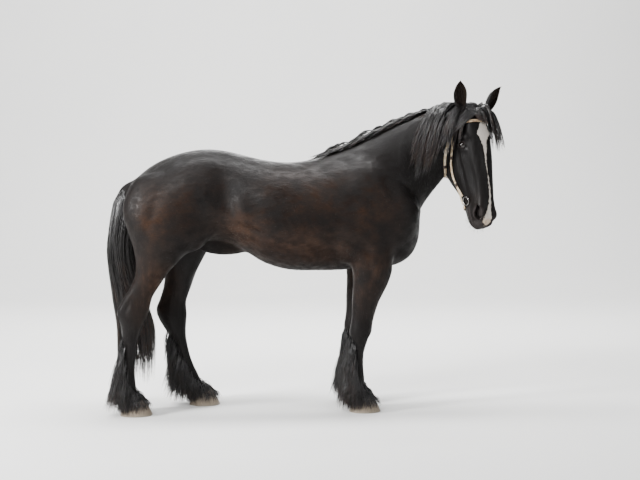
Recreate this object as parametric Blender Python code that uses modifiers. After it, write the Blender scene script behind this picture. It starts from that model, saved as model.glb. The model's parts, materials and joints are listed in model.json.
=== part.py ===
"""A draft cross horse at life size, standing with its head turned to its right.

Trunk, neck, head and legs are lofted from tables of named sections, fused into one skin,
reduced to facets and parted by thin cuts. Mane, forelock, tail and leg feather are tapered
locks, fused to the part that they grow from. Metres, +X to the front, +Y to the horse's
left, +Z up, with the ground at zero.
"""

import math
import random

import bmesh
import bpy
from mathutils import Matrix, Vector
from mathutils.bvhtree import BVHTree

# Driving sizes
GAP = 0.0004
WELD = 0.00001
CLEAR = 0.0014
RING_POINTS = 28
VOXEL = 0.0075
SMOOTH_PASSES = 7
SOFT_PASSES = 70
FACETS = 4000
HEAD_KEEP = 0.0012
HEAD_REACH = 0.46

# Trunk sections: x, top, height of the widest line, bottom, half width, upper and lower fullness
TRUNK = (
    (0.632, 1.335, 1.200, 1.060, 0.090, 2.0, 2.0),
    (0.580, 1.440, 1.180, 0.960, 0.190, 2.0, 2.2),
    (0.470, 1.550, 1.170, 0.895, 0.255, 2.0, 2.2),
    (0.320, 1.625, 1.180, 0.890, 0.290, 1.8, 2.2),
    (0.140, 1.640, 1.170, 0.868, 0.305, 1.6, 2.2),
    (-0.030, 1.578, 1.170, 0.866, 0.330, 1.8, 2.2),
    (-0.200, 1.552, 1.180, 0.872, 0.352, 2.1, 2.2),
    (-0.350, 1.566, 1.200, 0.915, 0.352, 2.2, 2.1),
    (-0.470, 1.594, 1.240, 0.985, 0.322, 2.2, 2.1),
    (-0.600, 1.625, 1.300, 1.040, 0.290, 2.2, 2.0),
    (-0.740, 1.634, 1.330, 1.050, 0.298, 2.3, 2.0),
    (-0.900, 1.602, 1.320, 1.050, 0.290, 2.3, 2.0),
    (-1.050, 1.535, 1.300, 1.050, 0.250, 2.2, 2.0),
    (-1.150, 1.455, 1.280, 1.070, 0.185, 2.0, 2.0),
    (-1.215, 1.380, 1.260, 1.140, 0.085, 2.0, 2.0),
)

# Neck sections: crest point, throat point, half width
NECK = (
    ((0.080, 0.000, 1.590), (0.500, 0.000, 1.000), 0.240),
    ((0.200, 0.000, 1.664), (0.590, 0.000, 1.150), 0.205),
    ((0.340, -0.005, 1.733), (0.645, -0.005, 1.255), 0.170),
    ((0.480, -0.020, 1.798), (0.700, -0.015, 1.340), 0.142),
    ((0.620, -0.050, 1.853), (0.762, -0.030, 1.420), 0.122),
    ((0.760, -0.100, 1.886), (0.820, -0.050, 1.495), 0.108),
    ((0.870, -0.160, 1.888), (0.862, -0.075, 1.560), 0.098),
    ((0.940, -0.210, 1.866), (0.895, -0.120, 1.615), 0.085),
)

# Head frame: its top point, its turn to the right and how far the nose is held out
POLL = Vector((0.967, -0.240, 1.875))
HEAD_TURN = math.radians(60)
NOSE_OUT = math.radians(12)

# Head sections: distance down the face, face line, jaw line, then half widths at WIDTH_DEPTHS
WIDTH_DEPTHS = (0.07, 0.30, 0.60, 0.88)
HEAD = (
    (-0.035, 0.050, 0.130, 0.030, 0.055, 0.055, 0.030),
    (0.000, 0.016, 0.200, 0.054, 0.088, 0.086, 0.058),
    (0.060, 0.000, 0.235, 0.064, 0.098, 0.092, 0.064),
    (0.130, -0.008, 0.278, 0.074, 0.104, 0.099, 0.064),
    (0.200, -0.012, 0.318, 0.073, 0.107, 0.103, 0.066),
    (0.270, -0.011, 0.343, 0.073, 0.101, 0.105, 0.070),
    (0.340, -0.007, 0.346, 0.068, 0.091, 0.100, 0.068),
    (0.410, 0.000, 0.315, 0.061, 0.081, 0.089, 0.060),
    (0.480, 0.008, 0.270, 0.056, 0.072, 0.077, 0.052),
    (0.550, 0.017, 0.240, 0.052, 0.067, 0.070, 0.048),
    (0.610, 0.025, 0.224, 0.051, 0.067, 0.067, 0.046),
    (0.660, 0.036, 0.212, 0.047, 0.064, 0.062, 0.045),
    (0.700, 0.056, 0.198, 0.036, 0.053, 0.052, 0.038),
    (0.727, 0.084, 0.172, 0.018, 0.034, 0.034, 0.020),
)

# Foreleg sections: x, z, half depth, half width, distance from the middle plane
FORELEG = (
    (0.300, 1.200, 0.150, 0.070, 0.185),
    (0.290, 1.080, 0.160, 0.085, 0.190),
    (0.295, 0.970, 0.145, 0.092, 0.188),
    (0.310, 0.870, 0.125, 0.088, 0.180),
    (0.296, 0.778, 0.108, 0.080, 0.172),
    (0.270, 0.683, 0.086, 0.068, 0.166),
    (0.254, 0.590, 0.072, 0.058, 0.162),
    (0.244, 0.535, 0.070, 0.060, 0.160),
    (0.238, 0.490, 0.070, 0.060, 0.160),
    (0.230, 0.440, 0.056, 0.050, 0.160),
    (0.218, 0.370, 0.045, 0.041, 0.160),
    (0.213, 0.290, 0.045, 0.040, 0.160),
    (0.206, 0.235, 0.056, 0.050, 0.160),
    (0.207, 0.205, 0.058, 0.052, 0.160),
    (0.222, 0.150, 0.048, 0.047, 0.160),
    (0.240, 0.105, 0.062, 0.064, 0.160),
    (0.250, 0.060, 0.068, 0.072, 0.160),
    (0.255, 0.020, 0.068, 0.072, 0.160),
)

# Hind leg sizes, hip to hoof: half depth, half width, distance from the middle plane
HIND_SIZES = (
    (0.200, 0.100, 0.150),
    (0.250, 0.128, 0.168),
    (0.264, 0.140, 0.182),
    (0.226, 0.132, 0.190),
    (0.160, 0.108, 0.186),
    (0.106, 0.086, 0.178),
    (0.090, 0.070, 0.168),
    (0.088, 0.056, 0.162),
    (0.098, 0.055, 0.160),
    (0.072, 0.053, 0.160),
    (0.050, 0.045, 0.160),
    (0.043, 0.040, 0.160),
    (0.048, 0.044, 0.160),
    (0.060, 0.053, 0.160),
    (0.050, 0.048, 0.160),
    (0.062, 0.064, 0.160),
    (0.068, 0.072, 0.160),
    (0.068, 0.072, 0.160),
)

# Hind leg section centres in side view: x, z. The left leg stands further forward.
HIND_PATH = {
    "right": (
        (-0.950, 1.470), (-0.962, 1.350), (-0.966, 1.225), (-0.955, 1.085),
        (-0.992, 0.985), (-1.038, 0.885), (-1.080, 0.800), (-1.130, 0.718),
        (-1.158, 0.638), (-1.166, 0.550), (-1.178, 0.470), (-1.190, 0.350),
        (-1.198, 0.270), (-1.204, 0.215), (-1.186, 0.152), (-1.166, 0.105),
        (-1.156, 0.060), (-1.152, 0.020),
    ),
    "left": (
        (-0.930, 1.470), (-0.930, 1.350), (-0.915, 1.225), (-0.885, 1.080),
        (-0.878, 0.965), (-0.886, 0.855), (-0.905, 0.755), (-0.935, 0.662),
        (-0.940, 0.582), (-0.920, 0.495), (-0.895, 0.420), (-0.866, 0.320),
        (-0.848, 0.255), (-0.836, 0.205), (-0.798, 0.150), (-0.760, 0.105),
        (-0.748, 0.060), (-0.744, 0.020),
    ),
}

# Muscle and bone masses on each side: centre, half lengths, turn about Y in degrees
MASSES = (
    ((0.465, 0.140, 1.200), (0.150, 0.130, 0.170), 0),
    ((0.290, 0.170, 1.340), (0.170, 0.110, 0.270), -24),
    ((0.190, 0.205, 1.100), (0.150, 0.100, 0.190), 30),
    ((-0.690, 0.180, 1.505), (0.140, 0.088, 0.085), 20),
    ((-1.050, 0.105, 1.290), (0.165, 0.115, 0.200), 10),
    ((-0.785, 0.180, 1.110), (0.100, 0.090, 0.125), 25),
)

# Sheath under the belly: centre, half lengths
SHEATH = ((-0.600, 0.0, 1.035), (0.190, 0.070, 0.070))

# Thin cuts that part the fused body: centre, size, turn about Y in degrees
CUT = 0.0004
NECK_BASE_CUT = ((0.400, 0.0, 1.420), (0.900, 0.800, CUT), 50)
FORELEG_CUT = ((0.300, 0.0, 0.850), (0.440, 0.800, CUT), 0)
HINDLEG_CUT = ((-0.960, 0.0, 0.968), (0.900, 0.900, CUT), 0)
KNEE_CUT_Z = 0.425
HOCK_CUT_Z = {"right": 0.490, "left": 0.440}
THROAT_CUT = ((0.730, -0.070, 1.660), (0.708, -0.698, -0.105), 0.820)

# Hooves: the hair line is tilted, high in front
CORONET_Z = 0.078
CORONET_TILT = math.radians(-18)
HOOF_X = {"fore_left": 0.246, "fore_right": 0.246, "hind_left": -0.750, "hind_right": -1.160}
HOOF_Y = 0.160
HOOF_RINGS = ((0.000, 0.020, 0.101, 0.088), (0.035, 0.012, 0.090, 0.082))
HOOF_TOP = (0.073, 0.073)

# Eyes, in the head frame: down the face, behind the face line, from the middle
EYE_RADIUS = 0.0240
EYE_PLACE = (0.208, 0.086, 0.094)
EYE_FORWARD = 0.38
LID_RADIUS = 0.0300
LID_OPENING = (0.0215, 0.0125)
LID_SLANT = math.radians(40)

# Nostrils and mouth, in the head frame
NOSTRIL_PLACE = (0.636, 0.076, 0.062)
NOSTRIL_HALF = (0.018, 0.040, 0.034)
NOSTRIL_SLANT = math.radians(24)
MOUTH_DEPTH = 0.146
MOUTH_CORNER = 0.575
MOUTH_SLIT = 0.003

# Ears: root on the head, axis in head directions, then share of length, half width, half arc
EAR_LENGTH = 0.205
EAR_ROOT = {1: (0.012, 0.062, 0.112), -1: (0.012, 0.062, 0.092)}
EAR_AXIS = {1: (-0.900, -0.430, 0.520), -1: (-0.900, -0.430, 0.240)}
EAR_FACES_OUT = math.radians(24)
EAR_FLATNESS = 0.72
EAR_THICKNESS = 0.0046
EAR_PROFILE = (
    (0.00, 0.022, 155), (0.18, 0.030, 146), (0.40, 0.041, 122), (0.62, 0.043, 104), (0.82, 0.032, 86),
    (0.95, 0.015, 68), (1.00, 0.005, 60),
)
EAR_POINTS = 7

# Bridle: strap sizes and half paths in the head frame, from one end to the middle or back
STRAP_HALF_WIDTH = 0.0085
STRAP_THICKNESS = 0.0034
STRAP_LIFT = 0.0035
RING_RADIUS = 0.026
RING_WIRE = 0.0036
RING_PLACE = (0.548, 0.152, 0.068)
HALF_HEADSTALL = (
    (-0.040, 0.092, 0.000), (-0.024, 0.104, 0.045), (0.030, 0.128, 0.085), (0.090, 0.140, 0.098),
    (0.150, 0.150, 0.103), (0.220, 0.168, 0.105), (0.300, 0.198, 0.104), (0.380, 0.212, 0.094),
    (0.450, 0.202, 0.082), (0.512, 0.174, 0.072),
)
HALF_BROWBAND = (
    (0.074, -0.004, 0.000), (0.073, -0.002, 0.030), (0.072, 0.010, 0.070), (0.073, 0.050, 0.092),
    (0.077, 0.106, 0.095),
)
HALF_THROATLATCH = (
    (0.366, 0.346, 0.000), (0.357, 0.348, 0.034), (0.330, 0.344, 0.066), (0.285, 0.316, 0.092),
    (0.235, 0.270, 0.104), (0.190, 0.230, 0.106), (0.152, 0.196, 0.104),
)
HALF_CURB = (
    (0.590, 0.236, 0.000), (0.589, 0.229, 0.028), (0.585, 0.204, 0.052), (0.580, 0.176, 0.062),
)

# Locks of hair: half width and half thickness of each kind
MANE_LOCK = (0.047, 0.0085)
FORELOCK_LOCK = (0.028, 0.0065)
TAIL_LOCK = (0.056, 0.0130)
FEATHER_LOCK = (0.032, 0.0070)
LEAST_WIDTH = 0.008
LOCK_SHAPE = ((0.00, 0.75, 1.0), (0.20, 0.96, 1.0), (0.46, 1.0, 1.0), (0.74, 0.66, 0.8), (1.0, 0.0, 0.0))

# Mane groups: side, first and last place along the crest, count, length, lean to the back
MANE_GROUPS = (
    (1, 0.10, 0.92, 7, 0.36, 0.35),
    (-1, 0.64, 0.93, 5, 0.44, 0.55),
    (-1, 0.14, 0.56, 4, 0.19, 1.60),
)
MANE_RISE = 0.036
MANE_LIFT = 0.011

# Forelock groups: count, then the places of the root, the bend and the tip in the head frame
FORELOCK_GROUPS = (
    (3, (-0.022, 0.030, -0.012), (0.055, 0.062, -0.105), (0.225, 0.245, -0.175)),
    (3, (-0.018, 0.030, 0.030), (0.060, 0.010, 0.090), (0.240, 0.070, 0.150)),
)
FORELOCK_LIFT = 0.0155

# Tail: dock points with radius, then the fall of its hair
DOCK = (
    (-1.120, 1.388, 0.052), (-1.178, 1.398, 0.047), (-1.226, 1.370, 0.041), (-1.258, 1.302, 0.036),
    (-1.272, 1.205, 0.031), (-1.278, 1.095, 0.025), (-1.280, 0.990, 0.016),
)
TAIL_LOCKS = 9
TAIL_FALL = ((-1.325, -1.240), (-1.325, -1.070))
TAIL_HALF_WIDTH = 0.062
TAIL_END = 0.235

# Leg feather: height above the ground, length, first and last place round the back in degrees, count
FEATHER_TIERS = ((0.370, 0.320, 166, 194, 2), (0.260, 0.225, 125, 235, 3), (0.180, 0.135, 84, 276, 4))
FEATHER_LIFT = 0.007
FEATHER_FLARE = 0.055

COLOURS = {
    "coat": ((0.016, 0.012, 0.011), 0.42, 0.0),
    "mane_hair": ((0.010, 0.009, 0.009), 0.50, 0.0),
    "hoof_horn": ((0.155, 0.125, 0.095), 0.55, 0.0),
    "eye": ((0.018, 0.010, 0.007), 0.08, 0.0),
    "bridle_leather": ((0.560, 0.470, 0.350), 0.55, 0.0),
    "bit_steel": ((0.560, 0.570, 0.580), 0.28, 1.0),
}


def clear_scene():
    """Removes whatever the scene holds."""
    for old in list(bpy.data.objects):
        bpy.data.objects.remove(old)


def new_collection(name):
    """A collection linked to the scene."""
    made = bpy.data.collections.new(name)
    bpy.context.scene.collection.children.link(made)
    return made


def material(slot):
    """The Principled material of one slot, made once."""
    found = bpy.data.materials.get(slot)
    if found:
        return found
    colour, roughness, metallic = COLOURS[slot]
    made = bpy.data.materials.new(slot)
    made.use_nodes = True
    shader = made.node_tree.nodes["Principled BSDF"]
    shader.inputs["Base Color"].default_value = (*colour, 1.0)
    shader.inputs["Roughness"].default_value = roughness
    shader.inputs["Metallic"].default_value = metallic
    made.diffuse_color = (*colour, 1.0)
    return made


def object_from(bm, name, collection, turn_out=True):
    """Turns a bmesh into an object, with its faces turned out unless they are already."""
    if turn_out:
        bmesh.ops.recalc_face_normals(bm, faces=bm.faces)
    mesh = bpy.data.meshes.new(name)
    bm.to_mesh(mesh)
    bm.free()
    made = bpy.data.objects.new(name, mesh)
    collection.objects.link(made)
    return made


def evaluated_copy(source, name, collection):
    """A new object that holds the source's mesh with its modifiers applied."""
    bpy.context.view_layer.update()
    graph = bpy.context.evaluated_depsgraph_get()
    mesh = bpy.data.meshes.new_from_object(source.evaluated_get(graph))
    mesh.transform(source.matrix_world)
    made = bpy.data.objects.new(name, mesh)
    collection.objects.link(made)
    return made


def discard(objects):
    """Removes helper objects that nothing needs any more."""
    for item in list(objects):
        bpy.data.objects.remove(item)


def spline(knots, share):
    """A point on the smooth curve through the knots, for a share from 0 to 1."""
    place = min(max(share, 0.0), 1.0) * (len(knots) - 1)
    index = min(int(place), len(knots) - 2)
    t = place - index
    a = knots[max(index - 1, 0)]
    b, c = knots[index], knots[index + 1]
    d = knots[min(index + 2, len(knots) - 1)]
    return tuple(
        0.5 * (2 * q + (r - p) * t + (2 * p - 5 * q + 4 * r - s) * t * t
               + (3 * q - p - 3 * r + s) * t ** 3)
        for p, q, r, s in zip(a, b, c, d)
    )


def refined(knots, steps):
    """The knots with smooth steps between them."""
    count = (len(knots) - 1) * steps
    return [spline(knots, i / count) for i in range(count + 1)]


def oval(centre, across, up, down, fullness_up=2.0, fullness_down=2.0):
    """A ring of points: a rounded oval whose upper and lower halves differ."""
    ring = []
    for i in range(RING_POINTS):
        angle = 2 * math.pi * i / RING_POINTS
        c, s = math.cos(angle), math.sin(angle)
        power = 2.0 / (fullness_up if s >= 0 else fullness_down)
        x = math.copysign(abs(c) ** power, c)
        y = abs(s) ** power
        ring.append(centre + across * x + (up if s >= 0 else down) * y)
    return ring


def loft(name, rings, collection):
    """A closed solid through a row of rings."""
    bm = bmesh.new()
    rows = [[bm.verts.new(point) for point in ring] for ring in rings]
    count = len(rings[0])
    for low, high in zip(rows, rows[1:]):
        for i in range(count):
            j = (i + 1) % count
            bm.faces.new((low[i], low[j], high[j], high[i]))
    bm.faces.new(rows[0])
    bm.faces.new(rows[-1])
    return object_from(bm, name, collection)


def ellipsoid(name, centre, half_lengths, collection, turn=0.0, rings=12):
    """A stretched sphere, turned about Y by some degrees."""
    bm = bmesh.new()
    place = (Matrix.Translation(centre) @ Matrix.Rotation(math.radians(turn), 4, "Y")
             @ Matrix.Diagonal((*half_lengths, 1.0)))
    bmesh.ops.create_uvsphere(bm, u_segments=2 * rings, v_segments=rings, radius=1.0, matrix=place)
    return object_from(bm, name, collection)


def slab(name, centre, size, turn, collection):
    """A box turned about Y by some degrees."""
    bm = bmesh.new()
    place = (Matrix.Translation(centre) @ Matrix.Rotation(math.radians(turn), 4, "Y")
             @ Matrix.Diagonal((*size, 1.0)))
    bmesh.ops.create_cube(bm, size=1.0, matrix=place)
    made = object_from(bm, name, collection)
    made.hide_render = True
    made.display_type = "WIRE"
    return made


def head_axes():
    """Unit vectors of the head: down the face, back to the jaw, and to its left."""
    facing = Vector((math.cos(HEAD_TURN), -math.sin(HEAD_TURN), 0.0))
    down = facing * math.sin(NOSE_OUT) - Vector((0, 0, 1)) * math.cos(NOSE_OUT)
    back = -facing * math.cos(NOSE_OUT) - Vector((0, 0, 1)) * math.sin(NOSE_OUT)
    left = Vector((-facing.y, facing.x, 0.0))
    return down, back, left


HEAD_DOWN, HEAD_BACK, HEAD_LEFT = head_axes()


def on_head(down, back, left):
    """A point given in the head's own frame."""
    return POLL + HEAD_DOWN * down + HEAD_BACK * back + HEAD_LEFT * left


def head_matrix(down, back, left):
    """A frame on the head: X to its left, Y out through the face, Z up to the poll."""
    turn = Matrix((HEAD_LEFT, -HEAD_BACK, -HEAD_DOWN)).transposed().to_4x4()
    return Matrix.Translation(on_head(down, back, left)) @ turn


def trunk_solid(collection):
    """The barrel with chest, loin and croup."""
    rings = []
    for x, top, widest, bottom, half, full_up, full_down in refined(TRUNK, 3):
        rings.append(oval(Vector((x, 0, widest)), Vector((0, half, 0)),
                          Vector((0, 0, top - widest)), Vector((0, 0, bottom - widest)),
                          full_up, full_down))
    return loft("trunk", rings, collection)


def neck_solid(collection):
    """The neck, bent to the right on its way to the poll."""
    flat = [(*crest, *throat, half) for crest, throat, half in NECK]
    rows = refined(flat, 3)
    centres = [(Vector(r[0:3]) + Vector(r[3:6])) / 2 for r in rows]
    rings = []
    for i, row in enumerate(rows):
        rise = (Vector(row[0:3]) - Vector(row[3:6])) / 2
        ahead = centres[min(i + 1, len(rows) - 1)] - centres[max(i - 1, 0)]
        across = rise.cross(ahead).normalized() * row[6]
        rings.append(oval(centres[i], across, rise, -rise, 1.75, 2.1))
    return loft("neck", rings, collection)


def head_ring(row):
    """One head section: a smooth closed curve through its named half widths."""
    down, face, jaw = row[:3]
    half = [(face, 0.0)]
    half += [(face + (jaw - face) * d, w) for d, w in zip(WIDTH_DEPTHS, row[3:])]
    half.append((jaw, 0.0))
    closed = half + [(b, -w) for b, w in reversed(half[1:-1])]
    count = len(closed)
    ring = []
    for i in range(RING_POINTS):
        place = i * count / RING_POINTS
        index = int(place)
        knots = [closed[(index + k) % count] for k in (-1, 0, 1, 2)]
        back, left = spline(knots, (1 + place - index) / 3)
        ring.append(on_head(down, back, left))
    return ring


def head_solids(collection):
    """The skull and muzzle with brows, cheeks, nostril wings, lips and chin."""
    rings = [head_ring(row) for row in refined(HEAD, 3)]
    made = [loft("skull", rings, collection)]
    bumps = (
        ((0.166, 0.052, 0.083), (0.030, 0.028, 0.030)),
        ((0.245, 0.215, 0.062), (0.036, 0.100, 0.105)),
        ((0.330, 0.085, 0.068), (0.018, 0.020, 0.090)),
        ((0.650, 0.062, 0.040), (0.026, 0.036, 0.042)),
        ((0.690, 0.092, 0.026), (0.030, 0.036, 0.034)),
    )
    for place, half_lengths in bumps:
        for side in (1, -1):
            down, back, left = place
            bm = bmesh.new()
            frame = head_matrix(down, back, left * side) @ Matrix.Diagonal((*half_lengths, 1.0))
            bmesh.ops.create_uvsphere(bm, u_segments=20, v_segments=12, radius=1.0, matrix=frame)
            made.append(object_from(bm, "head_mass", collection))
    bm = bmesh.new()
    frame = head_matrix(0.690, 0.158, 0.0) @ Matrix.Diagonal((0.036, 0.030, 0.034, 1.0))
    bmesh.ops.create_uvsphere(bm, u_segments=20, v_segments=12, radius=1.0, matrix=frame)
    made.append(object_from(bm, "chin", collection))
    return made


def leg_solid(name, sections, side, collection):
    """A leg lofted through level ovals. Side is 1 for the left and -1 for the right."""
    rings = []
    for x, z, depth, half, out in refined(sections, 2):
        centre = Vector((x, side * out, z))
        rings.append(oval(centre, Vector((depth, 0, 0)), Vector((0, half, 0)), Vector((0, -half, 0))))
    return loft(name, rings, collection)


def hind_sections(side_name):
    """The hind leg's sections, with its own places and the shared sizes."""
    return tuple((*place, *size) for place, size in zip(HIND_PATH[side_name], HIND_SIZES))


def is_head(point):
    """Whether a point belongs to the finer region of the head."""
    return (point - on_head(0.30, 0.12, 0.0)).length < HEAD_REACH


def fused(objects, name, collection):
    """One skin over overlapping solids: softened on the body, then reduced, finest on the head."""
    bm = bmesh.new()
    for item in objects:
        bm.from_mesh(item.data)
    joined = object_from(bm, "joined", collection)
    discard(objects)
    remesh = joined.modifiers.new("skin", "REMESH")
    remesh.mode = "VOXEL"
    remesh.voxel_size = VOXEL
    full = evaluated_copy(joined, "full", collection)
    soft = full.vertex_groups.new(name="soft")
    coarse = full.vertex_groups.new(name="coarse")
    for vertex in full.data.vertices:
        head = is_head(vertex.co)
        if vertex.co.z > 0.95 and not head:
            soft.add((vertex.index,), min(1.0, (vertex.co.z - 0.95) * 6), "REPLACE")
        keep = 0.5 if head else (0.9 if vertex.co.z < 0.60 else 1.0)
        coarse.add((vertex.index,), keep, "REPLACE")
    for passes, group in ((SMOOTH_PASSES, ""), (SOFT_PASSES, "soft")):
        smooth = full.modifiers.new("blend", "SMOOTH")
        smooth.factor = 0.5
        smooth.iterations = passes
        smooth.vertex_group = group
    reduce = full.modifiers.new("facets", "DECIMATE")
    reduce.vertex_group = "coarse"
    reduce.vertex_group_factor = HEAD_KEEP
    reduce.ratio = FACETS / sum(len(p.vertices) - 2 for p in full.data.polygons)
    made = evaluated_copy(full, name, collection)
    discard([joined, full])
    return made


def boolean(target, operand, operation, solver="MANIFOLD"):
    """Applies one Boolean to the target, with an object or a collection."""
    change = target.modifiers.new(operation, "BOOLEAN")
    change.operation = operation
    change.solver = solver
    if isinstance(operand, bpy.types.Collection):
        change.operand_type = "COLLECTION"
        change.collection = operand
    else:
        change.object = operand
    bpy.context.view_layer.update()
    graph = bpy.context.evaluated_depsgraph_get()
    mesh = bpy.data.meshes.new_from_object(target.evaluated_get(graph))
    target.modifiers.clear()
    target.data = mesh
    return target


def shells(bm):
    """The separate closed surfaces of a bmesh, as lists of faces."""
    left = set(bm.faces)
    found = []
    while left:
        stack = [left.pop()]
        shell = []
        while stack:
            face = stack.pop()
            shell.append(face)
            for edge in face.edges:
                for other in edge.link_faces:
                    if other in left:
                        left.remove(other)
                        stack.append(other)
        found.append(shell)
    return found


def keep_largest(target):
    """Leaves only the target's largest closed surface."""
    bm = bmesh.new()
    bm.from_mesh(target.data)
    found = sorted(shells(bm), key=lambda shell: sum(f.calc_area() for f in shell))
    for shell in found[:-1]:
        bmesh.ops.delete(bm, geom=shell, context="FACES")
    bmesh.ops.remove_doubles(bm, verts=bm.verts, dist=WELD)
    bm.to_mesh(target.data)
    bm.free()
    return target


def triangulated(mesh):
    """Splits a mesh into triangles and takes out pairs that lie back to back."""
    bm = bmesh.new()
    bm.from_mesh(mesh)
    bmesh.ops.triangulate(bm, faces=bm.faces[:])
    same = {}
    for face in bm.faces:
        same.setdefault(frozenset(face.verts), []).append(face)
    doubled = [face for faces in same.values() if len(faces) > 1 for face in faces]
    bmesh.ops.delete(bm, geom=doubled, context="FACES")
    bm.to_mesh(mesh)
    bm.free()


def parted(body, names, collection):
    """Splits a cut body into its pieces and names each by its centre with a function."""
    bm = bmesh.new()
    bm.from_mesh(body.data)
    chosen = {}
    for shell in shells(bm):
        corners = {v for f in shell for v in f.verts}
        centre = sum((v.co for v in corners), Vector()) / len(corners)
        name = names(centre)
        if len(shell) > len(chosen.get(name, ())):
            chosen[name] = shell
    made = {}
    for name, shell in chosen.items():
        piece = bmesh.new()
        copies = {v: piece.verts.new(v.co) for v in {v for f in shell for v in f.verts}}
        for face in shell:
            piece.faces.new([copies[v] for v in face.verts])
        made[name] = object_from(piece, name, collection, turn_out=False)
    bm.free()
    discard([body])
    return made


def ball(name, matrix, collection, rings):
    """A unit sphere placed and stretched by a matrix."""
    bm = bmesh.new()
    bmesh.ops.create_uvsphere(bm, u_segments=2 * rings - 4, v_segments=rings, radius=1.0, matrix=matrix)
    return object_from(bm, name, collection)


def block(name, matrix, collection):
    """A unit cube placed and stretched by a matrix."""
    bm = bmesh.new()
    bmesh.ops.create_cube(bm, size=1.0, matrix=matrix)
    made = object_from(bm, name, collection)
    made.hide_render = True
    made.display_type = "WIRE"
    return made


def grown(source, amount, collection):
    """A copy of a closed mesh, swollen along its normals."""
    made = bpy.data.objects.new("grown", source.data.copy())
    collection.objects.link(made)
    normals = [n.vector.copy() for n in made.data.vertex_normals]
    for vertex, normal in zip(made.data.vertices, normals):
        vertex.co += normal * amount
    return made


def surface(*objects):
    """A search tree over the faces of some meshes."""
    points, faces = [], []
    for item in objects:
        start = len(points)
        points += [v.co.copy() for v in item.data.vertices]
        faces += [[start + i for i in p.vertices] for p in item.data.polygons]
    return BVHTree.FromPolygons(points, faces)


def on_skin(tree, point, lift):
    """The nearest place on the skin, lifted off it, and the way out."""
    spot, normal, _, _ = tree.find_nearest(point)
    return spot + normal * lift, normal


def add_lock(bm, spine, acrosses, half_width, half_thick):
    """One flat tapered lock with a ridge along it, from its sunk root to its pointed tip."""
    rows = []
    for share, wide, thick in LOCK_SHAPE[:-1]:
        centre = Vector(spline(spine, share))
        ahead = (Vector(spline(spine, share + 0.04)) - Vector(spline(spine, share - 0.04))).normalized()
        across = Vector(spline(acrosses, share))
        across = (across - ahead * across.dot(ahead)).normalized()
        out = across.cross(ahead) * half_thick * thick
        across = across * half_width * wide
        rows.append([bm.verts.new(p) for p in (centre + across - out, centre + out, centre - across - out)])
    tip = bm.verts.new(Vector(spine[-1]))
    for low, high in zip(rows, rows[1:]):
        for i in range(3):
            j = (i + 1) % 3
            bm.faces.new((low[i], low[j], high[j]))
            bm.faces.new((low[i], high[j], high[i]))
    for i in range(3):
        bm.faces.new((rows[-1][i], rows[-1][(i + 1) % 3], tip))
    bm.faces.new(rows[0])


def crosses_itself(bm):
    """Whether faces that share no corner meet."""
    bm.faces.ensure_lookup_table()
    bm.faces.index_update()
    tree = BVHTree.FromBMesh(bm)
    return any(not set(bm.faces[i].verts) & set(bm.faces[j].verts) for i, j in tree.overlap(tree))


def lock_object(spine, outs, size, collection):
    """One lock as an object of its own, narrowed where it would cross itself."""
    half_width, half_thick = size
    lines = [tuple(p) for p in spine]
    settled = [(spine[i] - spine[i - 1]).cross(outs[i]).normalized() for i in range(2, len(spine))]
    acrosses = [tuple(a) for a in [settled[0]] * 2 + settled]
    bm = bmesh.new()
    add_lock(bm, lines, acrosses, half_width, half_thick)
    while crosses_itself(bm) and half_width > LEAST_WIDTH:
        half_width *= 0.8
        bm.clear()
        add_lock(bm, lines, acrosses, half_width, half_thick)
    return object_from(bm, "lock", collection)


def joined_locks(target, locks, helpers):
    """Fuses locks to each other, then to the part that they grow from."""
    hair = locks.objects[0]
    locks.objects.unlink(hair)
    helpers.objects.link(hair)
    boolean(hair, locks, "UNION")
    discard(locks.objects)
    bpy.data.collections.remove(locks)
    boolean(target, hair, "UNION")
    discard([hair])
    return keep_largest(target)


def crest_point(share):
    """A place on the crest of the neck."""
    return Vector(spline([crest for crest, _, _ in NECK], share))


def mane_locks(tree, locks, rng):
    """Locks that rise from the crest and fall to either side."""
    for side, first, last, count, length, lean in MANE_GROUPS:
        for i in range(count):
            share = first + (last - first) * (i + rng.uniform(-0.3, 0.3)) / (count - 1)
            root = crest_point(share)
            ahead = (crest_point(share + 0.03) - crest_point(share - 0.03)).normalized()
            out = Vector((0, 0, 1)).cross(ahead).normalized() * side
            fall = (Vector((0, 0, -1)) - ahead * lean * rng.uniform(0.8, 1.2)).normalized()
            reach = length * rng.uniform(0.82, 1.12)
            up = Vector((0, 0, 1))
            spine = [root - up * 0.022 + out * 0.004, root + up * MANE_RISE + out * 0.010 - ahead * 0.035]
            outs = [out, out]
            point = root + out * 0.035 + up * 0.004 - ahead * 0.055
            for k in range(4):
                spot, normal = on_skin(tree, point, MANE_LIFT + rng.uniform(0.0, 0.008))
                spine.append(spot)
                outs.append(normal)
                point = spot + (fall - normal * fall.dot(normal)).normalized() * reach / 4
            lock_object(spine, outs, MANE_LOCK, locks)


def forelock_locks(tree, locks, rng):
    """Locks that part at the poll and fall over each side of the forehead."""
    for count, root, bend, tip in FORELOCK_GROUPS:
        for i in range(count):
            drift = (i / (count - 1) - 0.5)
            spine, outs = [], []
            start, normal = on_skin(tree, on_head(*root) + HEAD_BACK * drift * 0.030, -0.018)
            spine.append(start)
            outs.append(normal)
            places = (root, [(p + q) / 2 for p, q in zip(root, bend)], bend,
                      [(p + q) / 2 for p, q in zip(bend, tip)], tip)
            reach = rng.uniform(0.80, 1.08)
            for k, place in enumerate(places):
                spread = drift * (0.035 + 0.020 * k)
                target = on_head(*place) + HEAD_BACK * spread
                if k == len(places) - 1:
                    target = on_head(*places[-2]).lerp(target, reach)
                spot, normal = on_skin(tree, target, FORELOCK_LIFT + rng.uniform(0.0, 0.007))
                spine.append(spot)
                outs.append(normal)
            lock_object(spine, outs, FORELOCK_LOCK, locks)


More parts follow.
